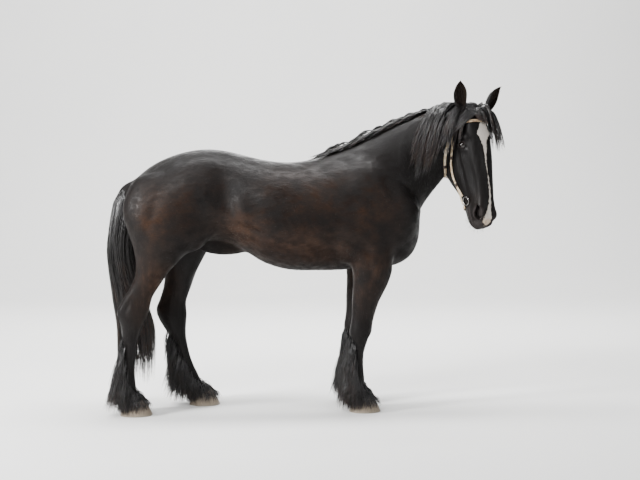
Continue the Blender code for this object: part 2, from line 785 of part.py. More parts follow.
def throat_slab(collection):
    """The thin slab that parts the head from the neck."""
    centre, normal, size = THROAT_CUT
    normal = Vector(normal).normalized()
    side = normal.cross(Vector((0, 0, 1))).normalized()
    frame = Matrix((side, normal.cross(side), normal)).transposed().to_4x4()
    matrix = Matrix.Translation(centre) @ frame @ Matrix.Diagonal((size, size, CUT, 1.0))
    return block("cut", matrix, collection)


def body_name(centre):
    """Which piece of the cut body has this centre."""
    side = "left" if centre.y > 0 else "right"
    middle, normal, _ = THROAT_CUT
    if centre.z > 1.1 and (centre - Vector(middle)).dot(Vector(normal)) > 0:
        return "head"
    if centre.x > 0.35 and centre.z > 1.3:
        return "neck"
    if centre.z > 0.98:
        return "torso"
    if centre.x > 0:
        upper, lower = "forearm_", "cannon_fore_"
        joint = KNEE_CUT_Z
    else:
        upper, lower = "gaskin_", "cannon_hind_"
        joint = HOCK_CUT_Z[side]
    return (upper if centre.z > joint else lower) + side


def hoof_places():
    """The name, side and coronet centre of each hoof."""
    for name, x in HOOF_X.items():
        side = 1 if name.endswith("left") else -1
        yield name, side, Vector((x, side * HOOF_Y, CORONET_Z))


def part_body(body, parts, helpers):
    """Parts the fused body with thin cuts."""
    cutters = [slab("cut", *cut, helpers) for cut in (NECK_BASE_CUT, FORELEG_CUT, HINDLEG_CUT)]
    cutters.append(throat_slab(helpers))
    for side, y in (("left", 0.3), ("right", -0.3)):
        cutters.append(slab("cut", (0.3, y, KNEE_CUT_Z), (0.8, 0.58, CUT), 0, helpers))
        cutters.append(slab("cut", (-1.0, y, HOCK_CUT_Z[side]), (0.8, 0.58, CUT), 0, helpers))
    for _, _, place in hoof_places():
        down = Matrix.Rotation(CORONET_TILT, 3, "Y") @ Vector((0, 0, -0.15))
        cutters.append(slab("cut", place + down, (0.36, 0.26, 0.30), math.degrees(CORONET_TILT), helpers))
    for cutter in cutters:
        boolean(body, cutter, "DIFFERENCE")
    discard(cutters)
    return parted(body, body_name, parts)


def build_skin(helpers):
    """Fuses trunk, neck, head and legs into one skin."""
    solids = [trunk_solid(helpers), neck_solid(helpers)]
    solids += head_solids(helpers)
    for side, side_name in ((1, "left"), (-1, "right")):
        solids.append(leg_solid("foreleg", FORELEG, side, helpers))
        solids.append(leg_solid("hindleg", hind_sections(side_name), side, helpers))
        for (x, y, z), half_lengths, turn in MASSES:
            solids.append(ellipsoid("mass", (x, side * y, z), half_lengths, helpers, turn))
    solids.append(ellipsoid("sheath", *SHEATH, helpers))
    return fused(solids, "skin", helpers)


def head_features(skin, parts, helpers):
    """Cuts the eye sockets, nostrils and mouth, adds the lids, and makes the eyes."""
    cutters = []
    for side, side_name in ((1, "left"), (-1, "right")):
        down, back, left = EYE_PLACE
        out = (HEAD_LEFT * side - HEAD_BACK * EYE_FORWARD).normalized()
        along = -HEAD_BACK * math.cos(LID_SLANT) + HEAD_DOWN * math.sin(LID_SLANT)
        along = (along - out * along.dot(out)).normalized()
        frame = Matrix((along, out.cross(along), out)).transposed().to_4x4()
        centre = Matrix.Translation(on_head(down, back, left * side))
        lids = ball("lids", centre @ frame @ Matrix.Diagonal((*(LID_RADIUS,) * 3, 1.0)), helpers, 9)
        boolean(skin, lids, "UNION")
        discard([lids])
        socket = centre @ frame @ Matrix.Diagonal((*(EYE_RADIUS + GAP,) * 3, 1.0))
        window = (Matrix.Translation(out * EYE_RADIUS) @ centre @ frame
                  @ Matrix.Diagonal((*LID_OPENING, EYE_RADIUS, 1.0)))
        cutters += [ball("socket", socket, helpers, 8), ball("window", window, helpers, 6)]
        ball("eye_" + side_name, centre @ frame @ Matrix.Diagonal((*(EYE_RADIUS - GAP,) * 3, 1.0)), parts, 8)
        down, back, left = NOSTRIL_PLACE
        facing = (HEAD_LEFT * side - HEAD_BACK * 0.75 + HEAD_DOWN * 0.15).normalized()
        rise = -HEAD_DOWN * math.cos(NOSTRIL_SLANT) + HEAD_BACK * math.sin(NOSTRIL_SLANT)
        rise = (rise - facing * rise.dot(facing)).normalized()
        frame = Matrix((rise.cross(facing), rise, facing)).transposed().to_4x4()
        hole = Matrix.Translation(on_head(down, back, left * side)) @ frame
        cutters.append(ball("nostril", hole @ Matrix.Diagonal((*NOSTRIL_HALF, 1.0)), helpers, 7))
    mouth = head_matrix((MOUTH_CORNER + 0.80) / 2, MOUTH_DEPTH, 0.0)
    mouth = mouth @ Matrix.Diagonal((0.30, MOUTH_SLIT, 0.80 - MOUTH_CORNER, 1.0))
    cutters.append(block("mouth", mouth, helpers))
    for cutter in cutters:
        boolean(skin, cutter, "DIFFERENCE")
    discard(cutters)
    return keep_largest(skin)


def build_hoof(name, place, collection, pad=0.0):
    """A hoof from the ground up to the tilted hair line, swollen by a pad to cut with."""
    rings = []
    for height, forward, depth, half in HOOF_RINGS:
        centre = Vector((place.x + forward, place.y, height - (pad if height == 0 else 0)))
        rings.append(oval(centre, Vector((depth + pad, 0, 0)), Vector((0, half + pad, 0)),
                          Vector((0, -half - pad, 0))))
    tilt = Matrix.Rotation(CORONET_TILT, 3, "Y")
    depth, half = HOOF_TOP
    rings.append(oval(place + tilt @ Vector((0, 0, pad - GAP)), tilt @ Vector((depth + pad, 0, 0)),
                      Vector((0, half + pad, 0)), Vector((0, -half - pad, 0))))
    return loft(name, rings, collection)


def build_ear(name, side, collection, pad=0.0):
    """One cupped ear, swollen by a pad to cut with."""
    down, back, left = EAR_AXIS[side]
    axis = (HEAD_DOWN * down + HEAD_BACK * back + HEAD_LEFT * left * side).normalized()
    open_way = -HEAD_BACK * math.cos(EAR_FACES_OUT) + HEAD_LEFT * side * math.sin(EAR_FACES_OUT)
    open_way = (open_way - axis * open_way.dot(axis)).normalized()
    across = axis.cross(open_way)
    down, back, left = EAR_ROOT[side]
    root = on_head(down, back, left * side)
    rings = []
    for share, half, arc in EAR_PROFILE:
        lean = open_way * 0.010 * math.sin(math.pi * share)
        centre = root + axis * (EAR_LENGTH * share + math.copysign(pad, share - 0.5)) - lean
        row = []
        walls = ((half + pad, range(EAR_POINTS)),
                 (half - EAR_THICKNESS - 1.5 * pad, reversed(range(EAR_POINTS))))
        for radius, turns in walls:
            for i in turns:
                reach = math.radians(arc) + 2 * pad / half
                angle = math.pi + reach * (2 * i / (EAR_POINTS - 1) - 1)
                row.append(centre + open_way * math.cos(angle) * max(radius, 0.0008) * EAR_FLATNESS
                           + across * math.sin(angle) * max(radius, 0.0008))
        rings.append(row)
    return loft(name, rings, collection)


def mirrored(half_path):
    """A whole path over the head from its half, from the right side to the left."""
    right = [(u, v, -w) for u, v, w in reversed(half_path)]
    return right + list(half_path[1:])


def blended(before, here, after):
    """A place and its outward way, evened out with its neighbours."""
    spot = (before[0] + here[0] * 6 + after[0]) / 8
    return spot, (before[1] + here[1] * 2 + after[1]).normalized()


def strap(name, path, tree, collection, pad=0.0):
    """A flat strap laid on the head along a path in the head frame, swollen by a pad to cut with."""
    count = len(path) * 5 // 2
    spots = [on_skin(tree, on_head(*spline(path, i / count)), STRAP_LIFT) for i in range(count + 1)]
    for _ in range(4):
        spots = [spots[0]] + [blended(*spots[i - 1:i + 2]) for i in range(1, count)] + [spots[-1]]
    rings = []
    for i, (spot, normal) in enumerate(spots):
        ahead = (spots[min(i + 1, count)][0] - spots[max(i - 1, 0)][0]).normalized()
        normal = (normal - ahead * normal.dot(ahead)).normalized()
        across = ahead.cross(normal) * (STRAP_HALF_WIDTH + pad)
        top = normal * (STRAP_THICKNESS + 2 * pad)
        spot = spot - normal * pad + ahead * pad * ((i == count) - (i == 0))
        rings.append([spot - across, spot + across, spot + across + top, spot - across + top])
    return loft(name, rings, collection)


def bit_ring(name, side, tree, collection, pad=0.0):
    """A wire ring beside the corner of the mouth."""
    down, back, left = RING_PLACE
    spot, normal = on_skin(tree, on_head(down, back, left * side), RING_WIRE + 0.003)
    rise = (-HEAD_DOWN + normal * HEAD_DOWN.dot(normal)).normalized()
    across = rise.cross(normal)
    rings = []
    for i in range(18):
        angle = 2 * math.pi * i / 18
        out = rise * math.cos(angle) + across * math.sin(angle)
        centre = spot + out * RING_RADIUS
        rings.append([centre + (out * math.cos(a) + normal * math.sin(a)) * (RING_WIRE + pad)
                      for a in (2 * math.pi * k / 5 for k in range(5))])
    return closed_loop(name, rings, collection)


def worn_pieces(tree, collection, pad=0.0):
    """The bridle and the ears, true or swollen by a pad to cut with."""
    made = [strap("headstall", mirrored(HALF_HEADSTALL), tree, collection, pad),
            strap("browband", mirrored(HALF_BROWBAND), tree, collection, pad),
            strap("throatlatch", mirrored(HALF_THROATLATCH), tree, collection, pad),
            strap("curb_strap", mirrored(HALF_CURB), tree, collection, pad)]
    for side, side_name in ((1, "left"), (-1, "right")):
        made.append(bit_ring("bit_ring_" + side_name, side, tree, collection, pad))
        made.append(build_ear("ear_" + side_name, side, collection, pad))
    return made


def closed_loop(name, rings, collection):
    """A ring-shaped solid through a closed row of sections."""
    bm = bmesh.new()
    rows = [[bm.verts.new(point) for point in ring] for ring in rings]
    count = len(rings[0])
    for k, low in enumerate(rows):
        high = rows[(k + 1) % len(rows)]
        for i in range(count):
            j = (i + 1) % count
            bm.faces.new((low[i], low[j], high[j], high[i]))
    return object_from(bm, name, collection)


def build_tail(torso, parts, helpers, rng):
    """The dock with its hair, parted from the torso by a gap."""
    rings = []
    knots = [(x, z, r) for x, z, r in DOCK]
    rows = refined(knots, 2)
    for i, (x, z, radius) in enumerate(rows):
        low, high = rows[max(i - 1, 0)], rows[min(i + 1, len(rows) - 1)]
        ahead = Vector((high[0] - low[0], 0, high[1] - low[1])).normalized()
        rings.append(oval(Vector((x, 0, z)), Vector((0, radius, 0)),
                          Vector((-ahead.z, 0, ahead.x)) * radius, Vector((ahead.z, 0, -ahead.x)) * radius)[::2])
    tail = loft("tail", rings, parts)
    locks = new_collection("tail_locks")
    (back_high, front_high), (back_low, front_low) = TAIL_FALL
    for i in range(TAIL_LOCKS):
        turn = 2 * math.pi * (i * 0.381966 % 1.0)
        place = 0.14 + 0.82 * ((i + 0.5) / TAIL_LOCKS)
        x, z, radius = spline(DOCK, place)
        out = Vector((-math.cos(turn), math.sin(turn), 0))
        depth = 0.5 - 0.5 * math.cos(turn)
        end = TAIL_END + 0.34 * rng.random() ** 1.6
        root = Vector((x, 0, z)) + out * radius * 0.3
        spine = [root, root + out * (radius + 0.012) + Vector((0, 0, -0.030))]
        for k in range(1, 5):
            share = k / 4
            height = z - 0.03 + (end - z + 0.03) * share
            low = min(1.0, max(0.0, (1.15 - height) / 0.6))
            back = back_high + (back_low - back_high) * low
            front = front_high + (front_low - front_high) * low
            wide = TAIL_HALF_WIDTH * (1.0 - 0.35 * max(0.0, share - 0.5))
            spine.append(Vector((back + (front - back) * depth + rng.uniform(-0.012, 0.012),
                                 wide * math.sin(turn) * 0.85 + rng.uniform(-0.006, 0.006), height)))
        outs = [out] * len(spine)
        lock_object(spine, outs, TAIL_LOCK, locks)
    joined_locks(tail, locks, helpers)
    clear = grown(torso, CLEAR, helpers)
    boolean(tail, clear, "DIFFERENCE")
    discard([clear])
    triangulated(keep_largest(tail).data)


def leg_reach(tree, centre, way):
    """How far the leg's surface is from its centre line in a level direction."""
    spot, _, _, distance = tree.ray_cast(centre, way)
    return distance if spot else 0.07


def build_feather(cannon, hoof, side, helpers, rng):
    """Locks round the back of the lower leg, falling over the hoof."""
    tree = surface(cannon, hoof)
    skin = surface(cannon)
    locks = new_collection("feather_locks")
    low_x = sum((v.co.x for v in hoof.data.vertices)) / len(hoof.data.vertices) - 0.012
    for top, length, first, last, count in FEATHER_TIERS:
        for i in range(count):
            turn = math.radians(first + (last - first) * (i + rng.uniform(-0.15, 0.15)) / (count - 1))
            reach = length * rng.uniform(0.85, 1.1)
            flare = FEATHER_FLARE * (0.5 - 0.5 * math.cos(turn))
            way = Vector((math.cos(turn), math.sin(turn) * side, 0))
            middle = centre_at(cannon, top, low_x, side)
            spine = [middle + way * (leg_reach(tree, middle, way) - 0.016)]
            hang = 0.0
            for k in range(1, 6):
                share = k / 5
                height = max(top - reach * (share - 0.15) / 0.85, 0.014)
                below = centre_at(cannon, height, low_x, side)
                out = below + way * (leg_reach(tree, below, way) + FEATHER_LIFT)
                hang = max(hang * 0.97, (out - middle).dot(way))
                aside = (below - middle) - way * (below - middle).dot(way)
                spine.append(middle + way * (hang + flare * share) + aside)
            lock_object(spine, [way] * 6, FEATHER_LOCK, locks)
    joined_locks(cannon, locks, helpers)


def centre_at(cannon, height, low_x, side):
    """The middle of the lower leg at one height."""
    near = [v.co.x for v in cannon.data.vertices if abs(v.co.z - height) < 0.045]
    x = (min(near) + max(near)) / 2 if near and height > 0.11 else low_x
    return Vector((x, side * HOOF_Y, height))


def part_material(name):
    """The material slot of a piece."""
    for start, slot in (("hoof", "hoof_horn"), ("eye", "eye"), ("tail", "mane_hair"),
                        ("bit_ring", "bit_steel"), ("headstall", "bridle_leather"),
                        ("browband", "bridle_leather"), ("throatlatch", "bridle_leather"),
                        ("curb_strap", "bridle_leather")):
        if name.startswith(start):
            return material(slot)
    return material("coat")


def settle(parts):
    """Gives each piece its material and moves the whole so that its base middle is the origin."""
    corners = [v.co for item in parts.objects for v in item.data.vertices]
    low = Vector([min(c[k] for c in corners) for k in range(3)])
    high = Vector([max(c[k] for c in corners) for k in range(3)])
    shift = Vector((-(low.x + high.x) / 2, -(low.y + high.y) / 2, -low.z))
    for item in parts.objects:
        item.data.transform(Matrix.Translation(shift))
        item.data.materials.clear()
        item.data.materials.append(part_material(item.name))


def main():
    """Builds the whole model."""
    clear_scene()
    rng = random.Random(7)
    parts = new_collection("draft_cross_horse")
    helpers = new_collection("helpers")
    skin = build_skin(helpers)
    head_features(skin, parts, helpers)
    bare = bpy.data.objects.new("bare", skin.data.copy())
    helpers.objects.link(bare)
    tree = surface(bare)
    locks = new_collection("neck_locks")
    mane_locks(tree, locks, rng)
    forelock_locks(tree, locks, rng)
    joined_locks(skin, locks, helpers)
    pieces = part_body(skin, parts, helpers)
    worn_pieces(tree, parts)
    for cutter in worn_pieces(tree, helpers, CLEAR):
        boolean(pieces["head"], cutter, "DIFFERENCE")
        discard([cutter])
    keep_largest(pieces["head"])
    build_tail(pieces["torso"], parts, helpers, rng)
    for name, side, place in hoof_places():
        hoof = build_hoof("hoof_" + name, place, parts)
        build_feather(pieces["cannon_" + name], hoof, side, helpers, rng)
        clear = build_hoof("clear", place, helpers, CLEAR)
        boolean(pieces["cannon_" + name], clear, "DIFFERENCE")
        discard([clear])
        keep_largest(pieces["cannon_" + name])
    discard([bare])
    settle(parts)


main()
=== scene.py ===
"""The looks of a draft cross horse at life size: skin, coat, long hair, eyes, hooves and bridle.

Everything is modelled in the horse's own frame (+X to the front, +Y to its left, +Z up,
metres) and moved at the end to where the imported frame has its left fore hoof.
"""

import json
import math

import bmesh
import bpy
import numpy as np
from mathutils import Matrix, Vector
from mathutils.bvhtree import BVHTree

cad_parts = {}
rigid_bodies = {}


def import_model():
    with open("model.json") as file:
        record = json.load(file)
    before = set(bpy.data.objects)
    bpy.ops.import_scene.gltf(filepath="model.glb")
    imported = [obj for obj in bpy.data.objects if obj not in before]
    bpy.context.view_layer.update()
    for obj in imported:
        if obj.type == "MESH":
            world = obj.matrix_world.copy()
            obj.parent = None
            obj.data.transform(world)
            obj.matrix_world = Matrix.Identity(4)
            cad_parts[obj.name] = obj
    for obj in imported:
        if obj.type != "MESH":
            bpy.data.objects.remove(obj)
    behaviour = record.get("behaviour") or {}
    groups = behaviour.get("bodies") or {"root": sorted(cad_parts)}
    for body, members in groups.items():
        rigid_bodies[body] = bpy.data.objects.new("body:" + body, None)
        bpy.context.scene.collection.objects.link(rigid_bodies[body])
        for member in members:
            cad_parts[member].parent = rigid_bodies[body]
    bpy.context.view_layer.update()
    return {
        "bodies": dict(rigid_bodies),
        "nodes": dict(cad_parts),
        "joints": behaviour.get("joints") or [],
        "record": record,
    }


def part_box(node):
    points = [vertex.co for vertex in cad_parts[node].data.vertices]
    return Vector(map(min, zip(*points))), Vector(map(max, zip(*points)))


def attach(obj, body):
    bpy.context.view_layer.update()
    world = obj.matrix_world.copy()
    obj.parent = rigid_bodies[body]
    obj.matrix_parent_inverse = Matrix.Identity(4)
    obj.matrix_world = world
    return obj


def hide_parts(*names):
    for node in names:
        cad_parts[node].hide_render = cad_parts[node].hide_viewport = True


SEED = 11
SIDES = ((1, "left"), (-1, "right"))

# Bake map: size of a hair's patch on it and faces of the coarse skin that it is unwrapped from
PATCH = 0.003
UNWRAP_FACES = 9000

# Skin: how fine it is, how much it is softened and from what height, how deep it lies in the
# solids, then how many points a section has and how many rings a ball
SKIN_VOXEL = 0.0082
SMOOTH_PASSES = 6
SOFT_PASSES = 92
SOFT_FROM = 0.95
COAT_DEPTH = 0.0015
RING_POINTS = 36
BALL_RINGS = 14

# Finer skin: middle in the head frame and reach, then reach round eyes and nostrils and round
# the lips, and the closest reach round the eyes and round the nostrils
FINE_MIDDLE = (0.35, 0.14, 0.0)
FINE_REACH = 0.43
LIPS = (0.690, 0.140, 0.0)
FINER_REACH = 0.055
LIPS_REACH = 0.075
FINEST_REACH = {"eyes": 0.036, "nostrils": 0.044}

# Trunk sections: x, top, height of the widest line, bottom, half width, upper and lower fullness
TRUNK = (
    (0.632, 1.335, 1.200, 1.060, 0.090, 2.0, 2.0),
    (0.580, 1.440, 1.180, 0.960, 0.190, 2.0, 2.2),
    (0.470, 1.550, 1.170, 0.895, 0.255, 2.0, 2.2),
    (0.320, 1.625, 1.180, 0.890, 0.290, 1.8, 2.2),
    (0.140, 1.640, 1.170, 0.868, 0.305, 1.6, 2.2),
    (-0.030, 1.578, 1.170, 0.866, 0.330, 1.8, 2.2),
    (-0.200, 1.552, 1.180, 0.872, 0.352, 2.1, 2.2),
    (-0.350, 1.566, 1.200, 0.915, 0.352, 2.2, 2.1),
    (-0.470, 1.594, 1.240, 0.985, 0.322, 2.2, 2.1),
    (-0.600, 1.625, 1.300, 1.040, 0.290, 2.2, 2.0),
    (-0.740, 1.634, 1.330, 1.050, 0.298, 2.3, 2.0),
    (-0.900, 1.602, 1.320, 1.050, 0.290, 2.3, 2.0),
    (-1.050, 1.535, 1.300, 1.050, 0.250, 2.2, 2.0),
    (-1.150, 1.455, 1.280, 1.070, 0.185, 2.0, 2.0),
    (-1.215, 1.380, 1.260, 1.140, 0.085, 2.0, 2.0),
)

# Neck sections: crest point, throat point, half width
NECK = (
    ((0.080, 0.000, 1.590), (0.500, 0.000, 1.000), 0.240),
    ((0.200, 0.000, 1.664), (0.590, 0.000, 1.150), 0.205),
    ((0.340, -0.005, 1.733), (0.645, -0.005, 1.255), 0.170),
    ((0.480, -0.020, 1.798), (0.700, -0.015, 1.340), 0.142),
    ((0.620, -0.050, 1.853), (0.762, -0.030, 1.420), 0.122),
    ((0.760, -0.100, 1.886), (0.820, -0.050, 1.495), 0.108),
    ((0.870, -0.160, 1.888), (0.862, -0.075, 1.560), 0.098),
    ((0.940, -0.210, 1.866), (0.895, -0.120, 1.615), 0.085),
)

# Head frame: its top point, its turn to the right, how far the nose is held out, and the head's
# middle in it with how far the head reaches from there
POLL = Vector((0.967, -0.240, 1.875))
HEAD_TURN = math.radians(60)
NOSE_OUT = math.radians(12)
HEAD_MIDDLE = (0.30, 0.12, 0.0)
HEAD_REACH = 0.46

# Head sections: distance down the face, face line, jaw line, then half widths at WIDTH_DEPTHS
WIDTH_DEPTHS = (0.07, 0.30, 0.60, 0.88)
HEAD = (
    (-0.035, 0.050, 0.130, 0.030, 0.055, 0.055, 0.030),
    (0.000, 0.016, 0.200, 0.054, 0.088, 0.086, 0.058),
    (0.060, 0.000, 0.235, 0.064, 0.098, 0.092, 0.064),
    (0.130, -0.008, 0.278, 0.074, 0.104, 0.099, 0.064),
    (0.200, -0.012, 0.318, 0.073, 0.107, 0.103, 0.066),
    (0.270, -0.011, 0.343, 0.073, 0.101, 0.105, 0.070),
    (0.340, -0.007, 0.346, 0.068, 0.091, 0.100, 0.068),
    (0.410, 0.000, 0.315, 0.061, 0.081, 0.089, 0.060),
    (0.480, 0.008, 0.270, 0.056, 0.072, 0.077, 0.052),
    (0.550, 0.017, 0.240, 0.052, 0.067, 0.070, 0.048),
    (0.610, 0.025, 0.224, 0.051, 0.067, 0.067, 0.046),
    (0.660, 0.036, 0.212, 0.047, 0.064, 0.062, 0.045),
    (0.700, 0.056, 0.198, 0.036, 0.053, 0.052, 0.038),
    (0.727, 0.084, 0.172, 0.018, 0.034, 0.034, 0.020),
)

# Masses of the head: place and half lengths in the head frame, on each side
HEAD_MASSES = (
    ((0.166, 0.052, 0.083), (0.030, 0.028, 0.030)),
    ((0.245, 0.215, 0.062), (0.036, 0.100, 0.105)),
    ((0.330, 0.085, 0.068), (0.018, 0.020, 0.090)),
    ((0.650, 0.062, 0.040), (0.026, 0.036, 0.042)),
    ((0.690, 0.092, 0.026), (0.030, 0.036, 0.034)),
)
CHIN = ((0.690, 0.158, 0.0), (0.036, 0.030, 0.034))

# Foreleg sections: x, z, half depth, half width, distance from the middle plane
FORELEG = (
    (0.300, 1.200, 0.150, 0.070, 0.185),
    (0.290, 1.080, 0.160, 0.085, 0.190),
    (0.295, 0.970, 0.145, 0.092, 0.188),
    (0.310, 0.870, 0.125, 0.088, 0.180),
    (0.296, 0.778, 0.108, 0.080, 0.172),
    (0.270, 0.683, 0.086, 0.068, 0.166),
    (0.254, 0.590, 0.072, 0.058, 0.162),
    (0.244, 0.535, 0.070, 0.060, 0.160),
    (0.238, 0.490, 0.070, 0.060, 0.160),
    (0.230, 0.440, 0.056, 0.050, 0.160),
    (0.218, 0.370, 0.045, 0.041, 0.160),
    (0.213, 0.290, 0.045, 0.040, 0.160),
    (0.206, 0.235, 0.056, 0.050, 0.160),
    (0.207, 0.205, 0.058, 0.052, 0.160),
    (0.222, 0.150, 0.048, 0.047, 0.160),
    (0.240, 0.105, 0.062, 0.064, 0.160),
    (0.248, 0.075, 0.066, 0.069, 0.160),
)

# Hind leg sizes, hip to hoof: half depth, half width, distance from the middle plane
HIND_SIZES = (
    (0.200, 0.100, 0.150),
    (0.250, 0.128, 0.168),
    (0.264, 0.140, 0.182),
    (0.226, 0.132, 0.190),
    (0.160, 0.108, 0.186),
    (0.106, 0.086, 0.178),
    (0.090, 0.070, 0.168),
    (0.088, 0.056, 0.162),
    (0.098, 0.055, 0.160),
    (0.072, 0.053, 0.160),
    (0.050, 0.045, 0.160),
    (0.043, 0.040, 0.160),
    (0.048, 0.044, 0.160),
    (0.060, 0.053, 0.160),
    (0.050, 0.048, 0.160),
    (0.062, 0.064, 0.160),
    (0.066, 0.069, 0.160),
)

# Hind leg section centres in side view: x, z. The left leg stands further forward.
HIND_PATH = {
    -1: (
        (-0.950, 1.470), (-0.962, 1.350), (-0.966, 1.225), (-0.955, 1.085),
        (-0.992, 0.985), (-1.038, 0.885), (-1.080, 0.800), (-1.130, 0.718),
        (-1.158, 0.638), (-1.166, 0.550), (-1.178, 0.470), (-1.190, 0.350),
        (-1.198, 0.270), (-1.204, 0.215), (-1.186, 0.152), (-1.166, 0.105), (-1.158, 0.075),
    ),
    1: (
        (-0.930, 1.470), (-0.930, 1.350), (-0.915, 1.225), (-0.885, 1.080),
        (-0.878, 0.965), (-0.886, 0.855), (-0.905, 0.755), (-0.935, 0.662),
        (-0.940, 0.582), (-0.920, 0.495), (-0.895, 0.420), (-0.866, 0.320),
        (-0.848, 0.255), (-0.836, 0.205), (-0.798, 0.150), (-0.760, 0.105), (-0.750, 0.075),
    ),
}

# Muscle and bone masses on each side: centre, half lengths, turn about Y in degrees
MASSES = (
    ((0.465, 0.140, 1.200), (0.150, 0.130, 0.170), 0),
    ((0.295, 0.168, 1.325), (0.170, 0.104, 0.240), -24),
    ((0.190, 0.205, 1.100), (0.150, 0.100, 0.190), 30),
    ((-0.690, 0.176, 1.495), (0.150, 0.085, 0.080), 20),
    ((-1.050, 0.105, 1.290), (0.165, 0.115, 0.200), 10),
    ((-0.785, 0.180, 1.110), (0.100, 0.090, 0.125), 25),
)
SHEATH = ((-0.600, 0.0, 1.035), (0.190, 0.070, 0.070))

# Where the muscle masses are blended further on each side: centre and reach
BLEND_PASSES = 250
BLENDS = (
    ((0.250, 0.240, 1.520), 0.26), ((-0.690, 0.240, 1.550), 0.20), ((-1.080, 0.170, 1.400), 0.16),
    ((-0.760, 0.250, 1.100), 0.17), ((0.500, 0.200, 1.180), 0.20), ((0.170, 0.280, 1.080), 0.16),
)

# Relief of the trunk and upper legs: centre, half lengths, turn about Y in degrees, height
RELIEF = (
    ((0.350, 0.250, 1.420), (0.040, 0.200, 0.200), -28, 0.0035),
    ((0.410, 0.240, 1.390), (0.045, 0.200, 0.200), -28, -0.0090),
    ((0.255, 0.260, 1.400), (0.045, 0.200, 0.170), -26, -0.0030),
    ((0.535, 0.180, 1.230), (0.070, 0.150, 0.070), 0, 0.0100),
    ((0.200, 0.280, 1.130), (0.120, 0.150, 0.060), 38, 0.0080),
    ((0.235, 0.270, 1.020), (0.110, 0.150, 0.030), 30, -0.0100),
    ((0.060, 0.300, 1.060), (0.045, 0.200, 0.130), 12, -0.0120),
    ((0.345, 0.240, 0.930), (0.040, 0.120, 0.110), -8, 0.0050),
    ((0.285, 0.240, 0.900), (0.020, 0.120, 0.100), -8, -0.0045),
    ((-0.605, 0.300, 1.320), (0.060, 0.200, 0.130), -12, -0.0270),
    ((-0.500, 0.330, 1.270), (0.042, 0.200, 0.120), -8, 0.0100),
    ((-0.430, 0.300, 1.125), (0.110, 0.200, 0.024), 20, -0.0170),
    ((-0.560, 0.270, 1.180), (0.036, 0.160, 0.110), -30, 0.0055),
    ((-0.745, 0.260, 1.400), (0.080, 0.160, 0.120), 15, -0.0035),
    ((-0.860, 0.290, 1.350), (0.120, 0.160, 0.150), 20, 0.0050),
    ((-1.030, 0.240, 1.260), (0.028, 0.200, 0.190), 14, -0.0045),
    ((-1.090, 0.200, 1.270), (0.060, 0.200, 0.160), 12, 0.0050),
    ((-0.800, 0.280, 1.080), (0.080, 0.160, 0.070), 30, 0.0060),
    ((-0.180, 0.350, 1.020), (0.200, 0.200, 0.024), 4, -0.0025),
)
RIB_SPACING = 0.052
RIB_HEIGHT = 0.0006

# Relief of the cannons, by place in their depth: centre, reach, height. Then how far up the leg
# it starts and ends.
CANNON_RELIEF = ((-0.28, 0.20, -0.0055), (-0.78, 0.25, 0.0030))
CANNON_BOTTOM = 0.22
CANNON_TOP = {"fore": 0.43, "hind": 0.47}

# Relief of knee and hock: height above the ground, reach, place in the leg's depth, reach, rise.
# Then how far it reaches from the leg's middle line, and how far up.
JOINT_RELIEF = {
    "fore": ((0.505, 0.035, 0.55, 0.35, 0.005), (0.450, 0.016, 0.75, 0.30, -0.003)),
    "hind": ((0.625, 0.030, -0.95, 0.20, 0.006), (0.665, 0.050, -0.45, 0.20, -0.007)),
}
LEG_REACH = 0.16
LEG_TOP = 0.75

# Relief of the head, in its frame: place, half lengths, height
HEAD_RELIEF = (
    ((0.150, 0.030, 0.062), (0.030, 0.030, 0.020), 0.004),
    ((0.115, 0.065, 0.090), (0.030, 0.024, 0.040), -0.009),
    ((0.290, 0.104, 0.080), (0.110, 0.011, 0.050), 0.006),
    ((0.330, 0.132, 0.080), (0.120, 0.014, 0.050), -0.008),
    ((0.400, 0.062, 0.070), (0.120, 0.022, 0.050), -0.007),
    ((0.262, 0.092, 0.092), (0.024, 0.024, 0.030), -0.005),
    ((0.300, 0.290, 0.080), (0.060, 0.020, 0.050), 0.004),
    ((0.265, 0.235, 0.095), (0.055, 0.050, 0.050), 0.004),
    ((0.560, 0.120, 0.060), (0.050, 0.022, 0.040), -0.006),
    ((0.600, 0.050, 0.048), (0.035, 0.018, 0.030), 0.004),
)

# Eyes: radius, place in the head frame, how far they look forward, opening, slant, the pupil's
# half sizes, how square the slit is and how thick the lids are
EYE_RADIUS = 0.0252
EYE_PLACE = (0.208, 0.086, 0.094)
EYE_FORWARD = 0.38
EYE_OPENING = (0.0225, 0.0120, 0.0092)
EYE_SLANT = math.radians(40)
PUPIL_HALF = (0.0105, 0.0050)
SLIT_POWER = 1.7
LID_THICKNESS = 0.0032

# Nostrils: place in the head frame, half length, half width, slant and depth
NOSTRIL_PLACE = (0.636, 0.076, 0.062)
NOSTRIL_HALF = 0.044
NOSTRIL_WIDTH = 0.0235
NOSTRIL_SLANT = math.radians(24)
NOSTRIL_DEPTH = 0.032

# Mouth line: its distance behind the face line and where its corner is
MOUTH_DEPTH = 0.146
MOUTH_CORNER = 0.575

# Ears: length, root and axis in head directions for each side, how far the cup faces out, how
# flat, thick and deeply sunk it is, and its profile: share of length, half width and half arc
# in degrees
EAR_LENGTH = 0.205
EAR_ROOT = {1: (0.012, 0.062, 0.112), -1: (0.012, 0.062, 0.092)}
EAR_AXIS = {1: (-0.900, -0.430, 0.520), -1: (-0.900, -0.430, 0.240)}
EAR_FACES_OUT = math.radians(24)
EAR_FLATNESS = 0.72
EAR_THICKNESS = 0.0052
EAR_SUNK = 0.16
EAR_PROFILE = (
    (0.00, 0.022, 155), (0.18, 0.030, 146), (0.40, 0.041, 122), (0.62, 0.043, 104), (0.82, 0.032, 86),
    (0.95, 0.015, 68), (1.00, 0.005, 60),
)

